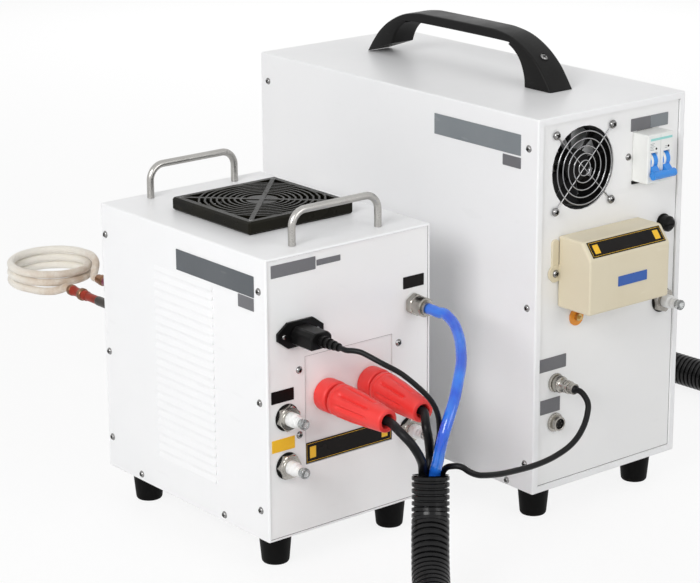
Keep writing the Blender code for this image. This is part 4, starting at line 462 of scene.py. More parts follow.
def make_glass_braid():
    """Woven glass sleeve: cream strands with darker crossings, scorched towards the unions."""
    tree, shader = new_finish("glass_braid", Sheen_Weight=0.25, Sheen_Roughness=0.5)
    plait = effect(tree, "braid", Around=12.0, Along=620.0)
    tone = effect(tree, "cloud", Colour=(0.93, 0.905, 0.85), Second=(0.89, 0.84, 0.75), Scale=30.0, Amount=0.5)
    shade = mixed(tree, plait["Strand"], (0.76, 0.71, 0.61), tone["Colour"])
    scorch = effect(tree, "split", Axis=(0.0, -1.0, 0.0), Place=-0.328, Blur=0.06)["After"]
    patchy = effect(tree, "cloud", Scale=70.0)["Cloud"]
    share = sums(tree, "MULTIPLY", sums(tree, "MULTIPLY", scorch, blended(tree, patchy, 0.35, 1.0)), 0.8)
    wire(tree, mixed(tree, share, shade, (0.46, 0.29, 0.16)), shader["Base Color"])
    wire(tree, blended(tree, plait["Strand"], 0.95, 0.8), shader["Roughness"])
    raise_bumps(tree, shader, plait["Height"], 0.00022)


def make_earth_stud():
    """One node, two finishes: an orange disc against the panel and a brass stud on it."""
    tree, shader = new_finish("orange_disc_and_brass_stud")
    edge = on_unit(0, UNIT_FACE - 0.3 - 1.7, 0).y
    out = effect(tree, "split", Axis=(0.0, -1.0, 0.0), Place=-edge)["After"]
    disc = effect(tree, "cloud", Colour=(0.78, 0.3, 0.02), Second=(0.66, 0.22, 0.015), Scale=90.0, Amount=0.7)
    stud = effect(tree, "cloud", Colour=(0.62, 0.45, 0.2), Second=(0.5, 0.34, 0.13), Scale=200.0, Amount=0.7)
    texture = effect(tree, "grain", Scale=1500.0)
    wire(tree, mixed(tree, out, disc["Colour"], stud["Colour"]), shader["Base Color"])
    wire(tree, out, shader["Metallic"])
    wire(tree, blended(tree, disc["Cloud"], 0.28, 0.42), shader["Roughness"])
    raise_bumps(tree, shader, texture["Height"], 0.00004)


def make_lit_segment():
    """A lit bar of the display."""
    tree, shader = new_finish("lit_segment", Emission_Strength=0.9, Roughness=0.4)
    glow = effect(tree, "cloud", Colour=(0.75, 0.03, 0.02), Second=(0.9, 0.08, 0.04), Scale=300.0, Amount=0.6)
    wire(tree, glow["Colour"], shader["Base Color"])
    wire(tree, glow["Colour"], shader["Emission Color"])


# Shapes
def settle(name, mesh, finish, body="cabinets", smooth=40):
    """Make a piece of a mesh in the shared frame, give it its finish and the body it moves with."""
    piece = bpy.data.objects.new(name, mesh)
    bpy.context.scene.collection.objects.link(piece)
    mesh.materials.clear()
    mesh.materials.append(FINISHES[finish])
    if smooth and len(mesh.polygons):
        mesh.shade_smooth()
        mesh.set_sharp_from_angle(angle=math.radians(smooth))
    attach(piece, body)
    return piece


def facing(axis, along=None):
    """Two directions square to an axis."""
    axis = Vector(axis).normalized()
    side = Vector(along) if along else (UP if abs(axis.z) < 0.9 else RIGHT)
    side = (side - axis * side.dot(axis)).normalized()
    return side.cross(axis).normalized(), side


def turned_mesh(name, profile, base, axis, sides=64, ripple=None):
    """A mesh turned about an axis: (radius, height) pairs in millimetres, from the far end's
    middle to the base. A ripple gives the radius at an angle and a height its change."""
    first, second = facing(axis)
    axis = Vector(axis).normalized()
    form = bmesh.new()
    rows = []
    for radius, height in profile:
        if radius == 0:
            rows.append([form.verts.new(base + axis * height * MM)])
            continue
        row = []
        for i in range(sides):
            turn = math.tau * i / sides
            out = radius + (ripple(turn, height, radius) if ripple else 0)
            row.append(form.verts.new(base + (first * math.cos(turn) + second * math.sin(turn)) * out * MM
                                      + axis * height * MM))
        rows.append(row)
    for low, high in zip(rows, rows[1:]):
        for i in range(sides):
            j = (i + 1) % sides
            if len(low) == 1 and len(high) == 1:
                continue
            if len(low) == 1:
                form.faces.new((low[0], high[i], high[j]))
            elif len(high) == 1:
                form.faces.new((low[i], high[0], low[j]))
            else:
                form.faces.new((low[i], high[i], high[j], low[j]))
    bmesh.ops.recalc_face_normals(form, faces=form.faces)
    mesh = bpy.data.meshes.new(name)
    form.to_mesh(mesh)
    form.free()
    return mesh


def swept_mesh(name, path, radius, sides=24, closed=False, radii=None):
    """A round tube along points, mapped by turn and by metres of length. Radii give each
    point its own radius."""
    path = [Vector(p) for p in path]
    count = len(path)
    ways = []
    for i in range(count):
        before = path[i - 1] if closed or i else path[i]
        after = path[(i + 1) % count] if closed or i < count - 1 else path[i]
        ways.append((after - before).normalized())
    side = facing(ways[0])[1]
    form = bmesh.new()
    rows, lengths, length = [], [], 0.0
    for i, (place, way) in enumerate(zip(path, ways)):
        if i:
            length += (place - path[i - 1]).length
        side = (side - way * side.dot(way)).normalized()
        other = way.cross(side)
        out = radii[i] if radii else radius
        rows.append([form.verts.new(place + (side * math.cos(math.tau * k / sides)
                                             + other * math.sin(math.tau * k / sides)) * out)
                     for k in range(sides)])
        lengths.append(length)
    chart = form.loops.layers.uv.new("UVMap")
    spans = list(range(count if closed else count - 1))
    for i in spans:
        j = (i + 1) % count
        end = lengths[j] if j else lengths[-1] + (path[0] - path[-1]).length
        for k in range(sides):
            m = (k + 1) % sides
            face = form.faces.new((rows[i][k], rows[i][m], rows[j][m], rows[j][k]))
            for loop, (u, v) in zip(face.loops, ((k, lengths[i]), (k + 1, lengths[i]), (k + 1, end), (k, end))):
                loop[chart].uv = (u / sides, v)
    if not closed:
        form.faces.new(rows[0][::-1])
        form.faces.new(rows[-1])
    mesh = bpy.data.meshes.new(name)
    form.to_mesh(mesh)
    form.free()
    return mesh


def eased(points, spacing):
    """Evenly spaced points of a smooth curve through the chosen points."""
    chosen = [Vector(p) for p in points]
    chosen = [2 * chosen[0] - chosen[1], *chosen, 2 * chosen[-1] - chosen[-2]]
    fine = []
    for a, b, c, d in zip(chosen, chosen[1:], chosen[2:], chosen[3:]):
        for i in range(24):
            t = i / 24
            fine.append((2 * b + (c - a) * t + (2 * a - 5 * b + 4 * c - d) * t ** 2
                         + (3 * b - a - 3 * c + d) * t ** 3) / 2)
    fine.append(chosen[-2])
    lengths = [0.0]
    for p, q in zip(fine, fine[1:]):
        lengths.append(lengths[-1] + (q - p).length)
    count = max(2, round(lengths[-1] / spacing))
    line, i = [], 0
    for k in range(count + 1):
        wanted = lengths[-1] * k / count
        while i < len(fine) - 2 and lengths[i + 1] < wanted:
            i += 1
        share = (wanted - lengths[i]) / (lengths[i + 1] - lengths[i])
        line.append(fine[i].lerp(fine[i + 1], min(1, share)))
    return line


def plate_mesh(name, centre, across, up, width, height, thickness, corner=1.0, edge=0.15):
    """A thin plate with round corners and a softened front edge; sizes in millimetres."""
    across, up = Vector(across).normalized(), Vector(up).normalized()
    out = across.cross(up)
    form = bmesh.new()

    def outline(inset, lift):
        ring = []
        for sign_x, sign_y, start in ((1, -1, -90), (1, 1, 0), (-1, 1, 90), (-1, -1, 180)):
            radius = max(0.05, corner - inset)
            for k in range(5):
                turn = math.radians(start + 22.5 * k)
                x = sign_x * (width / 2 - corner) + radius * math.cos(turn)
                y = sign_y * (height / 2 - corner) + radius * math.sin(turn)
                ring.append(form.verts.new(Vector(centre) + (across * x + up * y + out * lift) * MM))
        return ring

    rings = [outline(0, 0), outline(0, thickness - edge), outline(edge, thickness)]
    for low, high in zip(rings, rings[1:]):
        for i in range(len(low)):
            j = (i + 1) % len(low)
            form.faces.new((low[i], low[j], high[j], high[i]))
    form.faces.new(rings[0][::-1])
    form.faces.new(rings[-1])
    mesh = bpy.data.meshes.new(name)
    form.to_mesh(mesh)
    form.free()
    return mesh


def joined(name, meshes):
    """One mesh of several."""
    form = bmesh.new()
    for mesh in meshes:
        form.from_mesh(mesh)
        bpy.data.meshes.remove(mesh)
    whole = bpy.data.meshes.new(name)
    form.to_mesh(whole)
    form.free()
    return whole


# Screws: a pan head on a thin rim, with a cross recess whose floor carries a dark plate of painted shade
SCREW_DOME_SHARES = ((0.0, 1.0), (0.3, 0.98), (0.52, 0.9), (0.7, 0.74), (0.82, 0.5), (0.88, 0.24), (0.9, 0.1),
                     (1.0, 0.08), (1.0, 0.0))


def screw_meshes(place, axis, radius=4.0, rise=2.4, turn=0.0):
    """The head, and a dark plate of painted shade on the floor of its recess."""
    profile = [(radius * r, rise * h) for r, h in SCREW_DOME_SHARES]
    head = bpy.data.objects.new("head", turned_mesh("head", profile + [(0, 0)], Vector(), UP, 28))
    bpy.context.scene.collection.objects.link(head)
    cutters, recess_shade_plates = [], []
    for way in (RIGHT, FAR):
        other = UP.cross(way)
        slot = plate_mesh("slot", Vector((0, 0, rise * 0.3)) * MM, way, other, radius * 1.2, radius * 0.36,
                          rise * 2, 0.1, 0.05)
        cutter = bpy.data.objects.new("slot", slot)
        bpy.context.scene.collection.objects.link(cutter)
        change = head.modifiers.new("slot", "BOOLEAN")
        change.operation = "DIFFERENCE"
        change.object = cutter
        cutters.append(cutter)
        # dark plates of painted shade at the bottom of the cross recess
        recess_shade_plates.append(plate_mesh("floor", Vector((0, 0, rise * 0.3)) * MM, way, other, radius * 1.18, radius * 0.34,
                                 rise * 0.06, 0.1, 0.02))
    bpy.context.view_layer.update()
    carved = bpy.data.meshes.new_from_object(head.evaluated_get(bpy.context.evaluated_depsgraph_get()))
    for piece in (head, *cutters):
        bpy.data.objects.remove(piece, do_unlink=True)
    first, second = facing(axis)
    stand = Matrix((first, second, first.cross(second))).transposed().to_4x4()
    stand.translation = place
    floor = joined("floor", recess_shade_plates)
    for mesh in (carved, floor):
        mesh.transform(stand @ Matrix.Rotation(turn, 4, "Z"))
    return carved, floor


def set_screws(name, places, axis, **sizes):
    """One group of screws that share a size and a direction."""
    pairs = [screw_meshes(place, axis, turn=0.7 * i + 0.3, **sizes) for i, place in enumerate(places)]
    settle(name, joined(name, [head for head, floor in pairs]), "zinc_screw")
    # the recess plates take a black finish: painted shade
    name += "_recess_shade"
    settle(name, joined(name, [floor for head, floor in pairs]), "label_black")


UNIT_SIDE_SCREWS = ((14, 384), (13, 210), (13, 33), (462.8, 384), (462.8, 210), (462.8, 33), (41, 5.7))
HEAD_SIDE_SCREWS = ((11.5, 270), (12.5, 151), (13.5, 33), (288, 271), (288, 137), (288, 36), (232, 8), (78, 8))


def fasteners():
    wide, long = UNIT_SIZE.x / MM, UNIT_SIZE.y / MM
    set_screws("unit_left_screws", [on_unit(0, y, z) for y, z in UNIT_SIDE_SCREWS], LEFT)
    set_screws("unit_right_screws", [on_unit(wide, y, z) for y, z in UNIT_SIDE_SCREWS], RIGHT)
    head_wide, head_long = HEAD_SIZE.x / MM, HEAD_SIZE.y / MM
    set_screws("head_left_screws", [on_head(0, y, z) for y, z in HEAD_SIDE_SCREWS], LEFT)
    set_screws("head_right_screws", [on_head(head_wide, y, z) for y, z in HEAD_SIDE_SCREWS], RIGHT)
    set_screws("unit_panel_screws", [on_unit(x, UNIT_FACE, z) for x, z in ((136.4, 355.6), (188.6, 355.6))], NEAR)
    set_screws("head_panel_screws", [on_head(x, HEAD_FACE, z) for x, z in
                                     ((42.4, 180.5), (175.6, 181.5), (42, 109.7), (175.6, 110))], NEAR)
    set_screws("fan_guard_screws", [on_unit(FAN_CENTRE[0] + FAN_SCREW_REACH * i, UNIT_FACE - 2.1,
                                            FAN_CENTRE[1] + FAN_SCREW_REACH * k)
                                    for i in (-1, 1) for k in (-1, 1)], NEAR, radius=4.8, rise=3.0)
    set_screws("cover_ear_screws", [on_unit(x, UNIT_FACE - 2.9, 246) for x in (28.4, 159.1)], NEAR, radius=4.4)
    set_screws("inlet_screws", [on_head(INLET_CENTRE[0] + x, HEAD_FACE - 3.3, INLET_CENTRE[1])
                                 for x in (-21.6, 21.6)], NEAR, radius=2.6,
               rise=1.4)
    set_screws("control_panel_screws", [on_unit(x, long - UNIT_FACE, z) for x in (16, wide - 16)
                                        for z in (16, 401)], FAR)
    set_screws("output_panel_screws", [on_head(x, head_long - HEAD_FACE, z) for x in (12, head_wide - 12)
                                       for z in (12, 293)], FAR)
    set_screws("output_block_screws", [on_head(109.8 + x, head_long - HEAD_FACE + 9.3, LEAD_UP + z)
                                       for x in (-41, 41) for z in (-19, 19)], FAR, radius=3.2, rise=1.8)
    set_screws("grille_corner_screws", [on_head(112 + 62 * i, 151.5 + 62 * k, 305.2 + 14.3)
                                        for i in (-1, 1) for k in (-1, 1)], UP, radius=2.2, rise=0.6)


# Bare labels: (name, finish, low corner, high corner) in millimetres on their face
UNIT_LABELS = (("unit_type_label_left", "label_grey", (139, 383), (168.5, 397)),
               ("unit_type_label_right", "label_light_grey", (168.9, 383), (196, 397)),
               ("remote_label", "label_grey", (9.5, 137), (49, 152)),
               ("spare_label", "label_grey", (12, 88.6), (41, 105)))
HEAD_LABELS = (("head_type_label", "label_grey", (8, 284), (65, 297.5)),
               ("head_small_label", "label_grey", (66.5, 287), (97.5, 293.3)),
               ("water_in_label", "label_black", (6, 150.5), (35, 163.8)),
               ("tube_label", "label_black", (182, 239), (210.5, 252)),
               ("water_out_label", "label_yellow", (6, 97.5), (35.5, 111)))
UNIT_SIDE_LABELS = (("unit_side_band", "label_light_grey", (26, 374), (163.5, 397)),
                    ("unit_side_label", "label_grey", (25.7, 360), (53.7, 372)))
HEAD_SIDE_LABELS = (("head_side_band", "label_dark_grey", (19, 261.5), (154, 284.2)),
                    ("head_side_label", "label_grey", (19.5, 247), (46, 260.5)))


def put_label(name, finish, centre, across, up, width, height, thickness=0.6, corner=0.6):
    settle(name, plate_mesh(name, centre, across, up, width, height, thickness, corner), finish)


def labels():
    for place_on, face, rows in ((on_unit, UNIT_FACE, UNIT_LABELS), (on_head, HEAD_FACE, HEAD_LABELS)):
        for name, finish, low, high in rows:
            centre = place_on((low[0] + high[0]) / 2, face, (low[1] + high[1]) / 2)
            put_label(name, finish, centre, RIGHT, UP, high[0] - low[0], high[1] - low[1])
    for place_on, rows in ((on_unit, UNIT_SIDE_LABELS), (on_head, HEAD_SIDE_LABELS)):
        for name, finish, low, high in rows:
            centre = place_on(0, (low[0] + high[0]) / 2, (low[1] + high[1]) / 2)
            put_label(name, finish, centre, NEAR, UP, high[0] - low[0], high[1] - low[1])


def warning_strip(name, centre, across, up, width, height):
    """A black strip with a plain yellow bar at each end and a thin gold line inside its rim."""
    put_label(name, "label_black", centre, across, up, width, height, 0.8, 0.5)
    across, up = Vector(across).normalized(), Vector(up).normalized()
    out = across.cross(up)
    bars = []
    for side in (-1, 1):
        middle = centre + (across * side * (width / 2 - 9.5) + out * 0.8) * MM
        bars.append(plate_mesh(name, middle, across, up, 8, height * 0.56, 0.12, 0.4, 0.04))
    settle(name + "_bars", joined(name + "_bars", bars), "label_yellow")
    lines = []
    for side in (-1, 1):
        middle = centre + (up * side * (height / 2 - 1.5) + out * 0.8) * MM
        lines.append(plate_mesh(name, middle, across, up, width - 3, 0.35, 0.06, 0.1, 0.02))
        middle = centre + (across * side * (width / 2 - 1.5) + out * 0.8) * MM
        lines.append(plate_mesh(name, middle, across, up, 0.35, height - 3.3, 0.06, 0.1, 0.02))
    settle(name + "_rim_line", joined(name + "_rim_line", lines), "label_yellow")


def strips():
    warning_strip("head_strip", on_head(108.05, HEAD_FACE + 1, 86.75), RIGHT, UP, 116, 22.5)
    foot = Vector((0, -46.2, 269)) * MM
    top = Vector((0, -32.2, 286.5)) * MM
    way = (top - foot).normalized()
    middle = on_unit(93.75, 0, 0) + foot.lerp(top, 0.48)
    warning_strip("cover_strip", middle, RIGHT, way, 109, 18.5)
    put_label("cover_plate", "label_blue", on_unit(97.5, -46.5, 238.5), RIGHT, UP, 43, 11, 0.8, 0.5)


# Shapes that stand for CAD nodes, finer than the solids and in the same places
def stand_for(piece, slot, *nodes):
    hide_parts(*nodes)
    return piece


FOOT_PROFILE = ((0, 36.7), (17.4, 36.7), (18, 36.1), (17.7, 34), (14.9, 3.4), (14.5, 1.6), (13.6, 0.4), (12.4, 0),
                (7, 0), (6.4, 0.6), (6.2, 5), (0, 5))


def feet():
    for owner, corner, size in (("unit", UNIT_CORNER, UNIT_SIZE), ("head", HEAD_CORNER, HEAD_SIZE)):
        inset = 31 * MM
        places = [(x, y) for x in (corner.x + inset, corner.x + size.x - inset)
                  for y in (corner.y + inset, corner.y + size.y - inset)]
        for i, (x, y) in enumerate(places):
            name = f"{owner}_foot_{i + 1}"
            mesh = turned_mesh("rubber_" + name, FOOT_PROFILE, Vector((x, y, 0)), UP, 56)
            stand_for(settle("rubber_" + name, mesh, "foot_rubber"), "black_rubber", name)


def rod_handles():
    for name, depth in (("near", 25.5), ("far", 277.5)):
        half, top, bend = 57, 36, 17
        line = [(-half, 0.3), (-half, top - bend)]
        turns = [math.radians(9 * k) for k in range(1, 11)]
        line += [(-half + bend - bend * math.cos(turn), top - bend + bend * math.sin(turn)) for turn in turns]
        line += [(-u, v) for u, v in reversed(line)]
        mesh = swept_mesh("bent_rod_" + name, [on_head(111 + u, depth, 305.2 + v) for u, v in line], 4 * MM, 32)
        stand_for(settle("bent_rod_" + name, mesh, "bent_steel_rod"), "steel", f"rod_handle_{name}")


GUARD_RING_SHARES = (0.2, 0.38, 0.57, 0.76, 0.95)
GUARD_WIRE, GUARD_REACH, GUARD_EYE = 0.75, 42, 3.6


def fan_guard():
    """Five rings of chromed wire on two crossed arms, each arm ending in an eye under a screw."""
    middle = on_unit(FAN_CENTRE[0], UNIT_FACE - 1.2, FAN_CENTRE[1])
    wires = []
    for share in GUARD_RING_SHARES:
        radius = GUARD_REACH * share * MM
        ring = [middle + NEAR * 0.9 * MM + (RIGHT * math.cos(math.tau * k / 72) + UP * math.sin(math.tau * k / 72))
                * radius for k in range(72)]
        wires.append(swept_mesh("ring", ring, GUARD_WIRE * MM, 12, closed=True))
    for way in (RIGHT + UP, RIGHT - UP):
        reach = way * 38.8 * MM
        wires.append(swept_mesh("arm", [middle - reach, middle, middle + reach], GUARD_WIRE * MM, 12))
        for end in (-1, 1):
            eye = [middle + way * end * 41.25 * MM + (RIGHT * math.cos(math.tau * k / 28)
                                                     + UP * math.sin(math.tau * k / 28)) * 3.6 * MM for k in range(28)]
            wires.append(swept_mesh("eye", eye, GUARD_WIRE * MM, 10, closed=True))
    stand_for(settle("guard_wires", joined("guard_wires", wires), "bright_chrome", smooth=60), "chrome",
              "unit_fan_guard")


def hose_tails():
    """Chromed hexagon nuts, each with a pale ribbed spout whose end is open."""
    rows = (("unit_water_fitting", on_unit(194.5, UNIT_FACE - SEAT_GAP, 184)),
            ("head_water_fitting_low", on_head(25.5, HEAD_FACE - SEAT_GAP, 80)),
            ("head_water_fitting_high", on_head(25.5, HEAD_FACE - SEAT_GAP, 133)),
            ("head_return_fitting", on_head(191, HEAD_FACE - SEAT_GAP, 81)))
    spout = [(0, 14), (2.6, 14), (2.6, 24.4), (5.2, 24.4), (5.6, 24), (5.1, 23.4), (5.1, 20.4), (6, 19.6),
             (5.1, 19), (5.1, 15.8), (6.8, 15), (7.6, 14.2), (7.6, 6.2), (0, 6.2)]
    tip = [(2.8, 24.4), (2.8, 30.6), (3.1, 31), (5.3, 31), (5.7, 30.5), (5.7, 27.6), (5.2, 27), (5.2, 24.4),
           (2.8, 24.4)]
    washer = [(8, 6.9), (10.2, 6.9), (10.4, 6.5), (8, 6.5)]
    # a black ring under each nut: painted shade for the nut's shaded rim
    gasket = [(0, 0.9), (14.3, 0.9), (14.6, 0.6), (14.6, 0), (0, 0)]
    for i, (node_name, place) in enumerate(rows):
        nut = hexagon("nut", place + NEAR * 0.9 * MM, 14.3, 5.6, 1.4, 0.2 + 0.3 * i)
        ring = turned_mesh("ring", washer + [washer[0]], place, NEAR, 48)
        name = node_name.replace("fitting", "nut")
        stand_for(settle(name, joined(name, [nut, ring]), "nickel_plate", smooth=25), "chrome", node_name)
        for part, profile, finish, slot in (("spout", spout, "spout_nylon", "white_plastic"),
                                            ("tip", tip, "clear_nylon", "white_plastic"),
                                            ("gasket", gasket, "black_moulding", "black_plastic")):
            name = node_name.replace("fitting", part)
            settle(name, turned_mesh(name, profile, place, NEAR, 48), finish)


def hexagon(name, place, radius, thick, chamfer, turn=0.0):
    """A hexagon nut or flange: its corners are turned down by the chamfer."""
    form = bmesh.new()
    rings = []
    sides = 48
    for height, reach in ((0, radius), (thick - chamfer, radius), (thick - chamfer * 0.4, radius * 0.95),
                          (thick, radius * 0.86)):
        ring = []
        for k in range(sides):
            angle = math.tau * k / sides
            hex_angle = (angle + math.pi / 6) % (math.pi / 3) - math.pi / 6
            flat = radius * math.cos(math.pi / 6) / math.cos(hex_angle)
            out = min(flat, reach)
            way = RIGHT * math.cos(angle + turn) + UP * math.sin(angle + turn)
            ring.append(form.verts.new(place + way * out * MM + NEAR * height * MM))
        rings.append(ring)
    for low, high in zip(rings, rings[1:]):
        for i in range(sides):
            j = (i + 1) % sides
            form.faces.new((low[i], low[j], high[j], high[i]))
    form.faces.new(rings[0][::-1])
    form.faces.new(rings[-1])
    bmesh.ops.recalc_face_normals(form, faces=form.faces)
    mesh = bpy.data.meshes.new(name)
    form.to_mesh(mesh)
    form.free()
    return mesh


SLEEVE_STATIONS = ((0.0, 16.4), (1.0, 17.1), (4.6, 17.2), (5.6, 15.9), (7.6, 15.9), (8.8, 17.4),
                   (31, 16.6), (55.8, 14.4), (74.5, 12.6), (76.8, 12.1), (77.5, 11.4))
SLEEVE_AIMS = {"left": ((78.3, 146.3), (0, -99, -3.5)), "right": ((136.8, 146.3), (-12.5, -92, -4))}


def power_plugs():
    """Red rubber sleeves with raised grip panels, each turning in its fixed collar."""
    for side, ((across, up), aim) in SLEEVE_AIMS.items():
        base = on_head(across, HEAD_FACE + 1 - 0.3, up)
        aim = Vector(aim).normalized()
        start = base + NEAR * 18 * MM + aim * 3.5 * MM

        def grip(turn, height, radius):
            if radius < 9:
                return 0
            window = max(0, min(1, (height - 12) / 4)) * max(0, min(1, (60 - height) / 7))
            valley = max(0, math.cos(turn * 8)) ** 2.2
            return -window * 2.7 * valley

        profile = [(0, 64.5), (7.4, 64.5), (7.4, 76.6), (8, 77.5)]
        heights = [77.5 - 0.5 * k for k in range(8)] + [73.5 - 1.4 * k for k in range(46)]
        heights += [10, 9.4, 8.8, 8.2, 7.6, 6.6, 5.6, 5.1, 4.6, 3, 1, 0.5, 0]
        profile += [(radius_at(h), h) for h in heights if h >= 0]
        profile += [(12, 0), (12, -0.6), (0, -0.6)]
        mesh = turned_mesh(f"grip_sleeve_{side}", profile, start, aim, 96, grip)
        stand_for(settle(f"grip_sleeve_{side}", mesh, "red_sleeve_rubber", f"power_plug_{side}", 50), "red_rubber",
                  f"power_plug_{side}")
        collar = [(6, 4), (6, 17.6), (6.5, 18), (15.8, 18), (16.9, 17.6), (17.6, 16.7), (17.8, 15.6), (17.8, 2),
                  (17.4, 0.5), (16.8, 0)]
        mesh = turned_mesh(f"socket_collar_{side}", [(0, 4)] + collar + [(0, 0)], base, NEAR, 80)
        stand_for(settle(f"socket_collar_{side}", mesh, "red_sleeve_rubber"), "red_rubber", f"output_collar_{side}")


def radius_at(height):
    """The plain radius of a power sleeve at a height above its wide end."""
    for (low, a), (high, b) in zip(SLEEVE_STATIONS, SLEEVE_STATIONS[1:]):
        if height <= high:
            return a + (b - a) * (height - low) / (high - low)
    return SLEEVE_STATIONS[-1][1]


def remote_connector():
    """The remote lead's round plug: knurled ring, smooth barrel, rubber boot; and the two sockets."""
    def knurl(turn, height, radius):
        return 0.22 * math.cos(turn * 30) if 3.8 < height < 10.8 and radius > 8.4 else 0

    place = on_unit(SOCKET_ACROSS, UNIT_FACE - SEAT_GAP, REMOTE_UP)
    ring = [(0, 30.6), (5.6, 30.6), (6.2, 30), (6.4, 25), (5.7, 24.6), (5.7, 23.8), (6.9, 23.4), (7.2, 22.6),
            (7.2, 20.4), (6.7, 20), (6.7, 19.4), (7.2, 19), (7.2, 12.6), (8.2, 11.4),
            (8.7, 11.1), (9, 10.4), (9, 4.4), (8.7, 3.6), (8.1, 3.3), (8.1, 9.4), (0, 9.4)]
    mesh = turned_mesh("remote_plug_shell", ring, place, NEAR, 120, knurl)
    shell = stand_for(settle("remote_plug_shell", mesh, "nickel_plate"), "chrome", "remote_plug")
    boot = [(0, 33.6), (3.3, 33.6), (3.9, 33.2), (4.3, 32), (4.8, 30.4), (0, 30.4)]
    settle("remote_plug_boot", turned_mesh("remote_plug_boot", boot, place, NEAR, 40), "cable_rubber")
    for name, up in (("remote_socket", REMOTE_UP), ("spare_socket", SPARE_UP)):
        base = on_unit(SOCKET_ACROSS, UNIT_FACE - SEAT_GAP, up)
        nut = turned_mesh("nut", [(0, 3), (9.6, 3), (10.4, 2.2), (10.4, 0), (0, 0)], base, NEAR, 72,
                          lambda turn, height, radius: 0.25 * math.cos(turn * 24) if radius > 9 else 0)
        barrel = turned_mesh("barrel", [(0, 4), (6, 4), (6, 8.8), (6.3, 9), (7.5, 9), (7.8, 8.7), (7.8, 2.2), (0, 2.2)],
                             base, NEAR, 64)
        stand_for(settle(name + "_shell", joined(name + "_shell", [nut, barrel]), "nickel_plate", smooth=25),
                  "chrome", name)
    base = on_unit(SOCKET_ACROSS, UNIT_FACE - SEAT_GAP, SPARE_UP)
    pins = [turned_mesh("pin", [(0, 8.2), (0.4, 8.1), (0.6, 7.6), (0.6, 6), (0, 6)],
                        base + (RIGHT * math.cos(k * 1.257) + UP * math.sin(k * 1.257)) * 3.4 * MM, NEAR, 14)
            for k in range(5)]
    settle("spare_socket_pins", joined("spare_socket_pins", pins), "nickel_plate")
    insert = turned_mesh("spare_socket_insert", [(0, 6.4), (5.6, 6.4), (5.9, 6), (5.9, 4), (0, 4)], base, NEAR, 40)
    settle("spare_socket_insert", insert, "black_moulding")
    return shell


# Hoses and cables: each route is the part's own, in millimetres from the unit's near left corner
LEFT_POWER_ROUTE = (
    (-221.5, -7.6, 143.9), (-221.5, -14, 143.7), (-221.5, -26, 143), (-226, -45, 140),
    (-221, -57, 129), (-209, -57, 110), (-197.3, -46.6, 90), (-202.3, -52.3, 66))
RIGHT_POWER_ROUTE = (
    (-172.2, -6.9, 143.3), (-173.2, -14, 143), (-174.6, -22, 142.5), (-185, -37, 134.5),
    (-185, -41, 121), (-182, -40, 103), (-185.6, -43.5, 90), (-190.6, -49.2, 66))
INLET_CORD_ROUTE = (
    (-256.8, 13, 221), (-256.8, 9, 221), (-256.5, 0, 221), (-250, -12, 221), (-239, -34, 212),
    (-226, -47, 202), (-210, -57, 185), (-197, -60, 169), (-189, -60, 152), (-184, -56, 130),
    (-183, -51, 112), (-178.1, -48, 90), (-183, -53.7, 66))
COOLING_ROUTE = (
    (-103.8, 52, 221), (-103.8, 46, 221), (-103.8, 38, 220.5), (-103, 28, 221), (-108, 8, 216),
    (-117, -10, 208), (-127, -24, 201), (-139, -38, 192), (-153, -50, 182), (-168, -61, 167),
    (-182, -68, 151), (-192, -70, 131), (-192.4, -63.5, 106), (-190.3, -56.4, 88),
    (-195.2, -62.4, 66))
REMOTE_ROUTE = (
    (33.5, -31.6, 122), (33.5, -36, 122), (33, -43, 119), (30, -52, 112), (21, -58, 98),
    (6, -63, 86), (-14, -68, 79), (-41, -72, 75), (-69, -76, 75), (-101, -80, 78),
    (-133, -84, 83), (-160, -84, 90), (-173, -74, 99), (-179.5, -57.5, 91),
    (-184.6, -59.8, 66))
CONDUIT_ROUTE = (
    (-190, -50, 87), (-198, -59.3, 49), (-211, -74, 29), (-231, -98, 3), (-257, -132, -12.5),
    (-284, -172, -17.2), (-298, -228, -17.2), (-284, -290, -17.2), (-236, -338, -17.2),
    (-165, -362, -17.2), (-60, -372, -17.2), (60, -366, -17.2), (180, -338, -17.2),
    (290, -285, -17.2), (380, -205, -17.2), (440, -105, -17.2), (468, 10, -17.2),
    (475, 120, -17.2), (471, 227, -17.2), (462, 340, -17.2), (442, 450, -17.2),
    (400, 545, -17.2), (330, 612, -8), (248, 628, 12), (178, 596, 38), (151, 552, 56),
    (150, 515, 62), (150, 505.5, 62))
CORDS = (("power_cable_left", LEFT_POWER_ROUTE, 9.5, "cable_rubber", "black_rubber"),
         ("power_cable_right", RIGHT_POWER_ROUTE, 9.5, "cable_rubber", "black_rubber"),
         ("inlet_cord", INLET_CORD_ROUTE, 5.6, "cable_rubber", "black_rubber"),
         ("cooling_tube", COOLING_ROUTE, 12, "cooling_tube_blue", "blue_tube"),
         ("remote_cord", REMOTE_ROUTE, 6.4, "cable_rubber", "black_rubber"))
RIB_PITCH, CREST, ROOT = 6.4, 19.3, 17.0
RIB_SHARES = ((0.0, 0.0), (0.1, 0.0), (0.17, 0.78), (0.25, 1.0), (0.73, 1.0), (0.81, 0.78), (0.88, 0.0))


def route_length(line):
    return sum((q - p).length for p, q in zip(line, line[1:]))


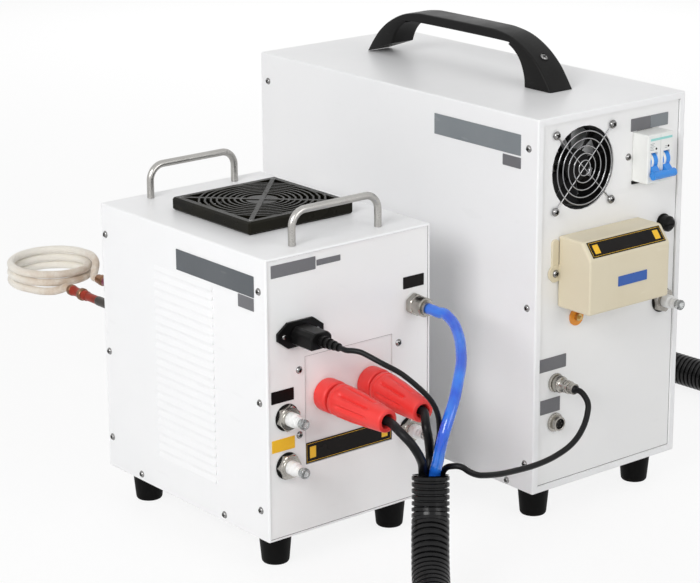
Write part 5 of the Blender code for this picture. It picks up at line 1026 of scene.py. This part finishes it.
def hoses_and_cables():
    for name, route, thick, finish, slot in CORDS:
        places = [on_unit(*p) for p in route]
        count = 30
        line = [places[0]] + eased(places[1:], route_length(places[1:]) / count)
        data = bpy.data.curves.new(name + "_hose", "CURVE")
        data.dimensions = "3D"
        data.bevel_depth = thick / 2 * MM
        data.bevel_resolution = 8
        data.use_fill_caps = True
        data.resolution_u = 6
        spline = data.splines.new("BEZIER")
        spline.bezier_points.add(len(line) - 1)
        for point, place in zip(spline.bezier_points, line):
            point.co = place
            point.handle_left_type = point.handle_right_type = "AUTO"
        data.materials.append(FINISHES[finish])
        hose = bpy.data.objects.new(name + "_hose", data)
        bpy.context.scene.collection.objects.link(hose)
        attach(hose, "cabinets")
        stand_for(hose, slot, name)
        bpy.context.view_layer.update()


def conduit():
    """Corrugated hose: ribs right to its open near end, and a plain cuff in the gland."""
    line = eased([on_unit(*p) for p in CONDUIT_ROUTE][::-1], RIB_PITCH * MM)
    radii, places = [], []
    cuff = CREST * 2
    gone = 0.0
    for a, b in zip(line, line[1:]):
        step = (b - a).length
        for share, crest in RIB_SHARES:
            here = gone + step * share
            plain = here / MM < cuff
            places.append(a.lerp(b, share))
            radii.append((CREST - 0.4 if plain else ROOT + (CREST - ROOT) * crest) * MM)
        gone += step
    places.append(line[-1])
    radii.append((CREST - 0.4) * MM)
    mesh = swept_mesh("corrugated_conduit", places, CREST * MM, 32, radii=radii)
    form = bmesh.new()
    form.from_mesh(mesh)
    form.faces.ensure_lookup_table()
    mouth = form.faces[-1]
    down = (line[-2] - line[-1]).normalized()
    for inset, depth in ((2.2, 0.0), (0.0, 3.0), (0.0, 28.0)):
        if inset:
            bmesh.ops.inset_region(form, faces=[mouth], thickness=inset * MM)
        else:
            made = bmesh.ops.extrude_discrete_faces(form, faces=[mouth])
            mouth = made["faces"][0]
            bmesh.ops.translate(form, verts=mouth.verts, vec=down * depth * MM)
    form.to_mesh(mesh)
    form.free()
    hose = settle("corrugated_conduit", mesh, "conduit_nylon", smooth=35)
    stand_for(hose, "black_plastic", "conduit")


# The coil: a copper turn under a woven sleeve, a little over two and a half turns
COIL_RADIUS, COIL_PITCH, COIL_FIRST, COIL_LAST = 47, 9.9, 332, 1252
COIL_ENTRY = ((84, 222, 138.5), (79, 234, 134.3), (70.5, 247.5, 133))
COIL_EXIT = ((153, 275, 159.4), (152.3, 261, 159.6), (149.6, 249, 158), (145.5, 240, 154), (139.5, 233.5, 148.5))


def coil_sleeve():
    end = HEAD_SIZE.y / MM
    entry, leave = LEAD_ACROSS["left"], LEAD_ACROSS["right"]
    points = [(entry, end + 204.3, LEAD_UP), (entry, end + 213.7, LEAD_UP)]
    points += [(x, end + y, z) for x, y, z in COIL_ENTRY]
    for turn in range(COIL_FIRST, COIL_LAST + 1, 15):
        angle = math.radians(turn)
        points.append((106 - COIL_RADIUS * math.cos(angle), end + 282 + COIL_RADIUS * math.sin(angle),
                       133.6 + COIL_PITCH * (turn - COIL_FIRST) / 360))
    points += [(x, end + y, z) for x, y, z in COIL_EXIT]
    points += [(leave, end + 228.7, LEAD_UP), (leave, end + 219.3, LEAD_UP)]
    line = eased([on_head(*p) for p in points], 1.6 * MM)
    radii = []
    for i in range(len(line)):
        radii.append((4.62 + 0.1 * math.sin(i * 0.11) + 0.05 * math.sin(i * 0.37 + 1)) * MM)
    mesh = swept_mesh("woven_coil_sleeve", line, 4.7 * MM, 36, radii=radii)
    stand_for(settle("woven_coil_sleeve", mesh, "glass_braid", smooth=60), "cream_sleeve", "work_coil")


def coil_leads():
    """From the block: a boss, a shrink sleeve, bare reddened copper and a brazed union with two collars."""
    base = HEAD_SIZE.y / MM + 8.4
    boss = [(0, 8), (9.2, 8), (10, 7.3), (10, 0.6), (9.4, 0), (0, 0)]
    left = {"boss": ("browned_copper", boss),
            "shrink": ("shrink_brown", [(0, 136), (4.9, 136), (5.4, 135.2), (5.6, 133), (5.4, 70), (5.6, 8), (0, 8)]),
            "tube": ("reddened_copper", [(0, 158), (5.2, 158), (5.0, 146), (5.1, 135), (0, 135)]),
            "union": ("reddened_copper",
                      [(0, 189), (6.1, 189), (6.1, 186), (5.5, 185), (5.5, 172), (6.0, 170), (6.0, 158.2), (5.3, 157),
                       (0, 157)]),
            "collars": ("browned_copper",
                        [(0, 195.6), (5.0, 195.6), (5.9, 195), (6.6, 193.6), (6.7, 189.4), (6.1, 188.6), (5.2, 188),
                         (5.2, 172.4), (6.6, 171.8), (7.4, 170.6), (7.5, 166.8), (7.0, 165.6), (5.9, 165),
                         (0, 165)])}
    right = {"boss": ("browned_copper", boss),
             "shrink": ("shrink_magenta", [(0, 196), (5.2, 196), (5.8, 195.2), (6.1, 193), (6.1, 178), (5.3, 176),
                                           (5.3, 8), (0, 8)]),
             "union": ("browned_copper", [(0, 210.6), (4.9, 210.6), (5.7, 209.8), (5.8, 204), (6.6, 203.4),
                                          (6.6, 199), (5.6, 198.4), (5.4, 196), (0, 196)])}
    for side, across, parts in (("left", LEAD_ACROSS["left"], left), ("right", LEAD_ACROSS["right"], right)):
        for part, (finish, profile) in parts.items():
            name = f"lead_{side}_{part}"
            piece = settle(name, turned_mesh(name, profile, on_head(across, base, LEAD_UP), FAR, 48), finish)
            if part == "tube" or (side == "right" and part == "union"):
                stand_for(piece, "copper", f"coil_lead_{side}")


# The strap handle: one smooth loft with a glossy outer face
STRAP_OUTER_SHARES = ((0.0, 0.0), (0.033, 0.25), (0.07, 0.48), (0.126, 0.71), (0.2, 0.9), (0.28, 0.985), (0.36, 1.0))
STRAP_INNER_SHARES = ((0.0, 0.0), (0.006, 0.24), (0.033, 0.53), (0.07, 0.72), (0.122, 0.86), (0.17, 0.9))
STRAP_START, STRAP_LENGTH, STRAP_FOOT, STRAP_RISE, STRAP_THICK, STRAP_WIDTH = 86, 312.5, 43, 57.5, 11.5, 34
STRAP_ACROSS, STRAP_SPANS = 116, 72
STRAP_RIM = ((4.4, 0.2), (4.7, 0.75), (5.4, 0.7), (5.9, 0.1), (4.4, 0.1), (4.4, 0.2))


def strap():
    """Sections across the strap, from one foot to the other, between a smooth outer and inner line."""
    outer = [(STRAP_START + STRAP_LENGTH * s, STRAP_RISE * h) for s, h in STRAP_OUTER_SHARES]
    inner_length = STRAP_LENGTH - 2 * STRAP_FOOT
    inner = [(STRAP_START + STRAP_FOOT + inner_length * s, (STRAP_RISE - STRAP_THICK) * h / 0.9)
             for s, h in STRAP_INNER_SHARES]
    middle = 2 * STRAP_START + STRAP_LENGTH
    lines = []
    for line in (outer, inner):
        line = line + [(middle - y, z) for y, z in reversed(line)]
        points = [Vector((0, y, z)) for y, z in line]
        smooth = eased(points, route_length(points) / STRAP_SPANS)
        lines.append(smooth[:STRAP_SPANS + 1])
    half, round_off = STRAP_WIDTH / 2, 2.6
    form = bmesh.new()
    rows = []
    for top, low in zip(*lines):
        up = (top - low).normalized()
        row = []
        for x_sign, z_end, first in ((1, 0, -90), (1, 1, 0), (-1, 1, 90), (-1, 0, 180)):
            for k in range(6):
                turn = math.radians(first + 18 * k)
                corner = round_off if z_end else 3.4
                across = x_sign * (half - corner) + corner * math.cos(turn)
                base = top - up * corner if z_end else low + up * corner
                crown = 0.5 * (1 - (across / half) ** 2) if z_end else 0
                place = base + up * (corner * math.sin(turn) + crown)
                rise = UNIT_SIZE.z / MM + SEAT_GAP + max(0, place.z)
                row.append(form.verts.new(on_unit(STRAP_ACROSS + across, place.y, rise)))
        rows.append(row)
    for low, high in zip(rows, rows[1:]):
        for i in range(len(low)):
            j = (i + 1) % len(low)
            face = form.faces.new((low[i], low[j], high[j], high[i]))
            face.material_index = 1 if 9 <= i <= 13 else 0
    form.faces.new(rows[0])
    form.faces.new(rows[-1][::-1])
    bmesh.ops.recalc_face_normals(form, faces=form.faces)
    mesh = bpy.data.meshes.new("strap")
    form.to_mesh(mesh)
    form.free()
    piece = settle("strap", mesh, "strap_moulding", smooth=50)
    mesh.materials.append(FINISHES["strap_gloss"])
    stand_for(piece, "black_plastic", "carry_handle")
    rims, heads = [], []
    for top, low, beyond in ((lines[0][9], lines[1][9], lines[0][10]), (lines[0][63], lines[1][63], lines[0][62])):
        along = (beyond - top).normalized()
        out = Vector((0, -along.z, along.y)) if along.y > 0 else Vector((0, along.z, -along.y))
        place = on_unit(STRAP_ACROSS, top.y, UNIT_SIZE.z / MM + SEAT_GAP + top.z) + out * 0.2 * MM
        rims.append(turned_mesh("rim", STRAP_RIM, place, out, 40))
        heads.append(place + out * 0.1 * MM)
        set_screws(f"strap_screw_{len(heads)}", [heads[-1]], out, radius=4.2, rise=1.0)
    settle("strap_screw_rims", joined("strap_screw_rims", rims), "strap_moulding")


# Painted shade in the seams, and flanges
def frame_mesh(name, place_on, low, high, depth, way, line=0.55):
    """A thin dark line round a panel, where it meets its case: painted shade in the gap there."""
    middle_x, middle_z = (low[0] + high[0]) / 2, (low[1] + high[1]) / 2
    wide, tall = high[0] - low[0], high[1] - low[1]
    across = way.cross(UP) * -1
    bars = []
    for x, z, w, h in ((middle_x, high[1], wide, line), (middle_x, low[1], wide, line),
                       (low[0], middle_z, line, tall), (high[0], middle_z, line, tall)):
        bars.append(plate_mesh(name, place_on(x, depth, z), across, UP, w, h, 0.12, 0.1, 0.03))
    return joined(name, bars)


def seam_shades_and_flanges():
    wide, tall, long = UNIT_SIZE.x / MM, UNIT_SIZE.z / MM, UNIT_SIZE.y / MM
    head_wide, head_tall, head_long = HEAD_SIZE.x / MM, HEAD_SIZE.z / MM, HEAD_SIZE.y / MM
    rows = (("unit_near_seam_shade", on_unit, (7.8, 7.8), (wide - 7.8, tall - 7.8), UNIT_FACE, NEAR),
            ("unit_far_seam_shade", on_unit, (7.8, 7.8), (wide - 7.8, tall - 7.8), long - UNIT_FACE, FAR),
            ("head_near_seam_shade", on_head, (2.6, 2.6), (head_wide - 2.6, head_tall - 2.6), HEAD_FACE, NEAR),
            ("head_far_seam_shade", on_head, (2.6, 2.6), (head_wide - 2.6, head_tall - 2.6), head_long - HEAD_FACE, FAR),
            ("board_seam_shade", on_head, (50, 75), (166.5, 193.3), HEAD_FACE, NEAR))
    # dark lines of painted shade round the panels, and a softer one round the output board
    for name, place_on, low, high, depth, way in rows:
        soft = name == "board_seam_shade"
        shade_line = frame_mesh(name, place_on, low, high, depth, way, 0.4 if soft else 0.55)
        settle(name, shade_line, "soft_seam_shade" if soft else "dark_seam_shade")
    flanges = []
    for x in (28.6, 158.9):
        flanges.append(plate_mesh("flange", on_unit(x, UNIT_FACE, 259.5), RIGHT, UP, 9.6, 47, 2.3, 3.6, 0.5))
    settle("cover_flanges", joined("cover_flanges", flanges), "cream_moulding")


# Breaker trim, controls and display
def breaker_trim():
    face = UNIT_FACE - 22.5
    put_label("breaker_band", "label_teal", on_unit(BREAKER_CENTRE + 1, face, 376.4), RIGHT, UP, 33, 2.6, 0.3, 0.3)
    lines = [plate_mesh("line", on_unit(150.6 + x, face, 372 - 1.7 * k), RIGHT, UP, width, 0.55, 0.06, 0.1, 0.02)
             for k, row in enumerate((((-0.8, 6.4),), ((-1.6, 4.8),), ((-0.4, 7.2),), ((-1.8, 4.4), (20.5, 4)),
                                      ((-1, 6), (20.5, 4))))
             for x, width in row]
    settle("breaker_print_lines", joined("breaker_print_lines", lines), "label_light_grey")
    dots = [turned_mesh("dot", [(0, 0.25), (1.2, 0.25), (1.3, 0)], on_unit(x, face, z), NEAR, 20)
            for x, z in ((155.8, 366), (174.5, 366.5))]
    settle("breaker_test_dots", joined("breaker_test_dots", dots), "label_black")
    drums = [turned_mesh("drum", [(9.3, 0), (9.75, 0.3), (9.75, 3.4), (9.3, 3.6), (9.3, 0)],
                         on_unit(BREAKER_CENTRE + x, UNIT_FACE - 14, 352), RIGHT, 64) for x in (-14.4, 4.6)]
    drums = settle("toggle_drum_shields", joined("toggle_drum_shields", drums), "breaker_moulding", "breaker_lever")
    # painted shade: a black strip under the breaker and a dark line above it, where the cut-out round it lies in shade
    put_label("breaker_underside_shade", "black_moulding", on_unit(155, UNIT_FACE, 326.2), RIGHT, UP, 26, 3.6, 1.6, 0.4)
    put_label("breaker_top_gap_shade", "label_black", on_unit(160.5, UNIT_FACE, 382.9), RIGHT, UP, 24, 0.7, 0.2, 0.2)


SEGMENTS = {"a": (0, 1, True), "b": (0.5, 0.5, False), "c": (0.5, -0.5, False), "d": (0, -1, True),
            "e": (-0.5, -0.5, False), "f": (-0.5, 0.5, False), "g": (0, 0, True)}
DIGITS = {"0": "abcdef", "1": "bc", "5": "afgcd"}


def controls():
    """The far panel: a display window, dial marks round the knobs, bezels round the buttons."""
    face = UNIT_SIZE.y / MM - UNIT_FACE
    window = on_unit(110.25, face, 335)
    put_label("display_bezel", "black_moulding", window, LEFT, UP, 106, 52, 3, 3)
    put_label("display_window", "window_glass", window + FAR * 3 * MM, LEFT, UP, 92, 38, 0.6, 2)
    bars = []
    for k, digit in enumerate("015"):
        middle = window + (LEFT * (k - 1) * 24 + FAR * 3.6) * MM
        for part in DIGITS[digit]:
            x, y, flat = SEGMENTS[part]
            centre = middle + (LEFT * x * 12 + UP * y * 10.5) * MM
            wide, tall = (9, 1.8) if flat else (1.8, 8.6)
            bars.append(plate_mesh("bar", centre, LEFT, UP, wide, tall, 0.1, 0.7, 0.03))
    settle("display_digits", joined("display_digits", bars), "lit_segment")
    for knob, share in (("power_knob", 0.32), ("time_knob", 0.68)):
        centre = on_unit(220.5 * share, face, 245)
        marks = []
        for k in range(11):
            turn = math.radians(230 - 28 * k)
            out = LEFT * math.cos(turn) + UP * math.sin(turn)
            marks.append(plate_mesh("mark", centre + out * (19.5 + (1 if k % 5 == 0 else 0)) * MM,
                                    out, FAR.cross(out), 5 if k % 5 == 0 else 3, 0.8, 0.15, 0.2, 0.05))
        settle(knob + "_marks", joined(knob + "_marks", marks), "label_black")
        pointer = plate_mesh("pointer", centre + (UP * 8 + FAR * 13.8) * MM, LEFT, UP, 1.2, 10, 0.5, 0.3, 0.1)
        settle(knob + "_pointer", pointer, "spout_nylon", knob)
    for button, share in (("start_button", 0.32), ("stop_button", 0.68)):
        centre = on_unit(220.5 * share, face, 190)
        bezel = turned_mesh("bezel", [(8.3, 1.2), (8.6, 2), (10.4, 2), (11, 1.4), (11, 0), (8.3, 0), (8.3, 1.2)],
                            centre, FAR, 48)
        settle(button + "_bezel", bezel, "bright_chrome")


# Every carried-over CAD node gets the finish of the real piece
NODE_FINISHES = {
    "case_powder_coat": ("unit_case", "head_case"),
    "panel_powder_coat": ("unit_connector_panel", "unit_control_panel", "head_connector_panel",
                          "head_output_panel", "output_board"),
    "black_moulding": ("unit_fan_frame", "unit_fan_rotor", "head_fan_frame", "head_fan_rotor", "supply_terminals",
                       "fuse_collar", "fuse_cap", "power_knob", "time_knob", "mains_inlet", "inlet_plug",
                       "output_block", "conduit_gland"),
    "filter_moulding": ("filter_grille",),
    "breaker_moulding": ("breaker_body",),
    "toggle_blue_moulding": ("breaker_lever",),
    "cream_moulding": ("terminal_cover",),
    "orange_disc_and_brass_stud": ("earth_terminal",),
    "start_green_moulding": ("start_button",),
    "stop_red_moulding": ("stop_button",),
    "nickel_plate": ("cooling_fitting",),
}


def finish_nodes():
    for finish, names in NODE_FINISHES.items():
        for name in names:
            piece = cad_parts[name]
            for slot in piece.material_slots:
                slot.material = FINISHES[finish]


# A plain pale studio
def studio():
    floor_mesh = bpy.data.meshes.new("studio_floor")
    reach = 9
    floor_mesh.from_pydata([(-reach, -reach, 0), (reach, -reach, 0), (reach, reach, 0), (-reach, reach, 0)], [],
                           [(0, 1, 2, 3)])
    floor = bpy.data.objects.new("studio_floor", floor_mesh)
    bpy.context.scene.collection.objects.link(floor)
    floor.location.z = -0.0004
    material = bpy.data.materials.new("studio_floor_white")
    material.use_nodes = True
    tree = material.node_tree
    tree.nodes.clear()
    out = node(tree, "ShaderNodeOutputMaterial")
    paint = node(tree, "ShaderNodeBsdfDiffuse", {"Color": (0.86, 0.86, 0.86, 1)})
    glow = node(tree, "ShaderNodeEmission", {"Color": (1, 1, 1, 1), "Strength": 1.0})
    rays = node(tree, "ShaderNodeLightPath").outputs
    seen = sums(tree, "MAXIMUM", rays["Is Camera Ray"], rays["Is Glossy Ray"])
    seen = sums(tree, "MAXIMUM", seen, rays["Is Transmission Ray"])
    share = sums(tree, "MULTIPLY", seen, 0.86)
    mix = node(tree, "ShaderNodeMixShader")
    wire(tree, share, mix.inputs[0])
    wire(tree, paint.outputs[0], mix.inputs[1])
    wire(tree, glow.outputs[0], mix.inputs[2])
    wire(tree, mix.outputs[0], out.inputs[0])
    floor_mesh.materials.append(material)

    world = bpy.data.worlds.new("studio_air")
    bpy.context.scene.world = world
    world.use_nodes = True
    tree = world.node_tree
    air = tree.nodes["Background"]
    rays = node(tree, "ShaderNodeLightPath").outputs
    seen = sums(tree, "MAXIMUM", rays["Is Camera Ray"], rays["Is Glossy Ray"])
    seen = sums(tree, "MAXIMUM", seen, rays["Is Transmission Ray"])
    wire(tree, blended(tree, seen, AIR_LIGHT, 1.0), air.inputs["Strength"])
    air.inputs["Color"].default_value = (1, 1, 1, 1)
    for name, place, aim, size, power in LAMPS:
        lamp = bpy.data.lights.new(name, "AREA")
        lamp.shape = "RECTANGLE"
        lamp.size, lamp.size_y = size
        lamp.energy = power
        holder = bpy.data.objects.new(name, lamp)
        bpy.context.scene.collection.objects.link(holder)
        holder.location = place
        holder.visible_glossy = name in ("key_softbox", "front_softbox")
        holder.rotation_euler = (Vector(aim) - Vector(place)).to_track_quat("-Z", "Y").to_euler()


AIR_LIGHT = 0.46
LAMPS = (("key_softbox", (-2.5, -1.1, 1.75), (0, 0, 0.2), (1.5, 1.2), 50),
         ("front_softbox", (0.4, -2.7, 1.2), (0, 0, 0.2), (1.6, 1.2), 16),
         ("top_softbox", (0.2, 0.3, 2.6), (0, 0, 0), (2.0, 2.0), 3),
         ("back_softbox", (2.0, 2.2, 1.1), (0, 0, 0.2), (1.8, 1.2), 26))


def main():
    photographer()
    make_finishes()
    hoses_and_cables()
    conduit()
    coil_sleeve()
    coil_leads()
    strap()
    feet()
    rod_handles()
    fan_guard()
    hose_tails()
    power_plugs()
    remote_connector()
    fasteners()
    labels()
    strips()
    seam_shades_and_flanges()
    breaker_trim()
    controls()
    finish_nodes()
    studio()
    bpy.context.scene.view_settings.view_transform = "Standard"


main()
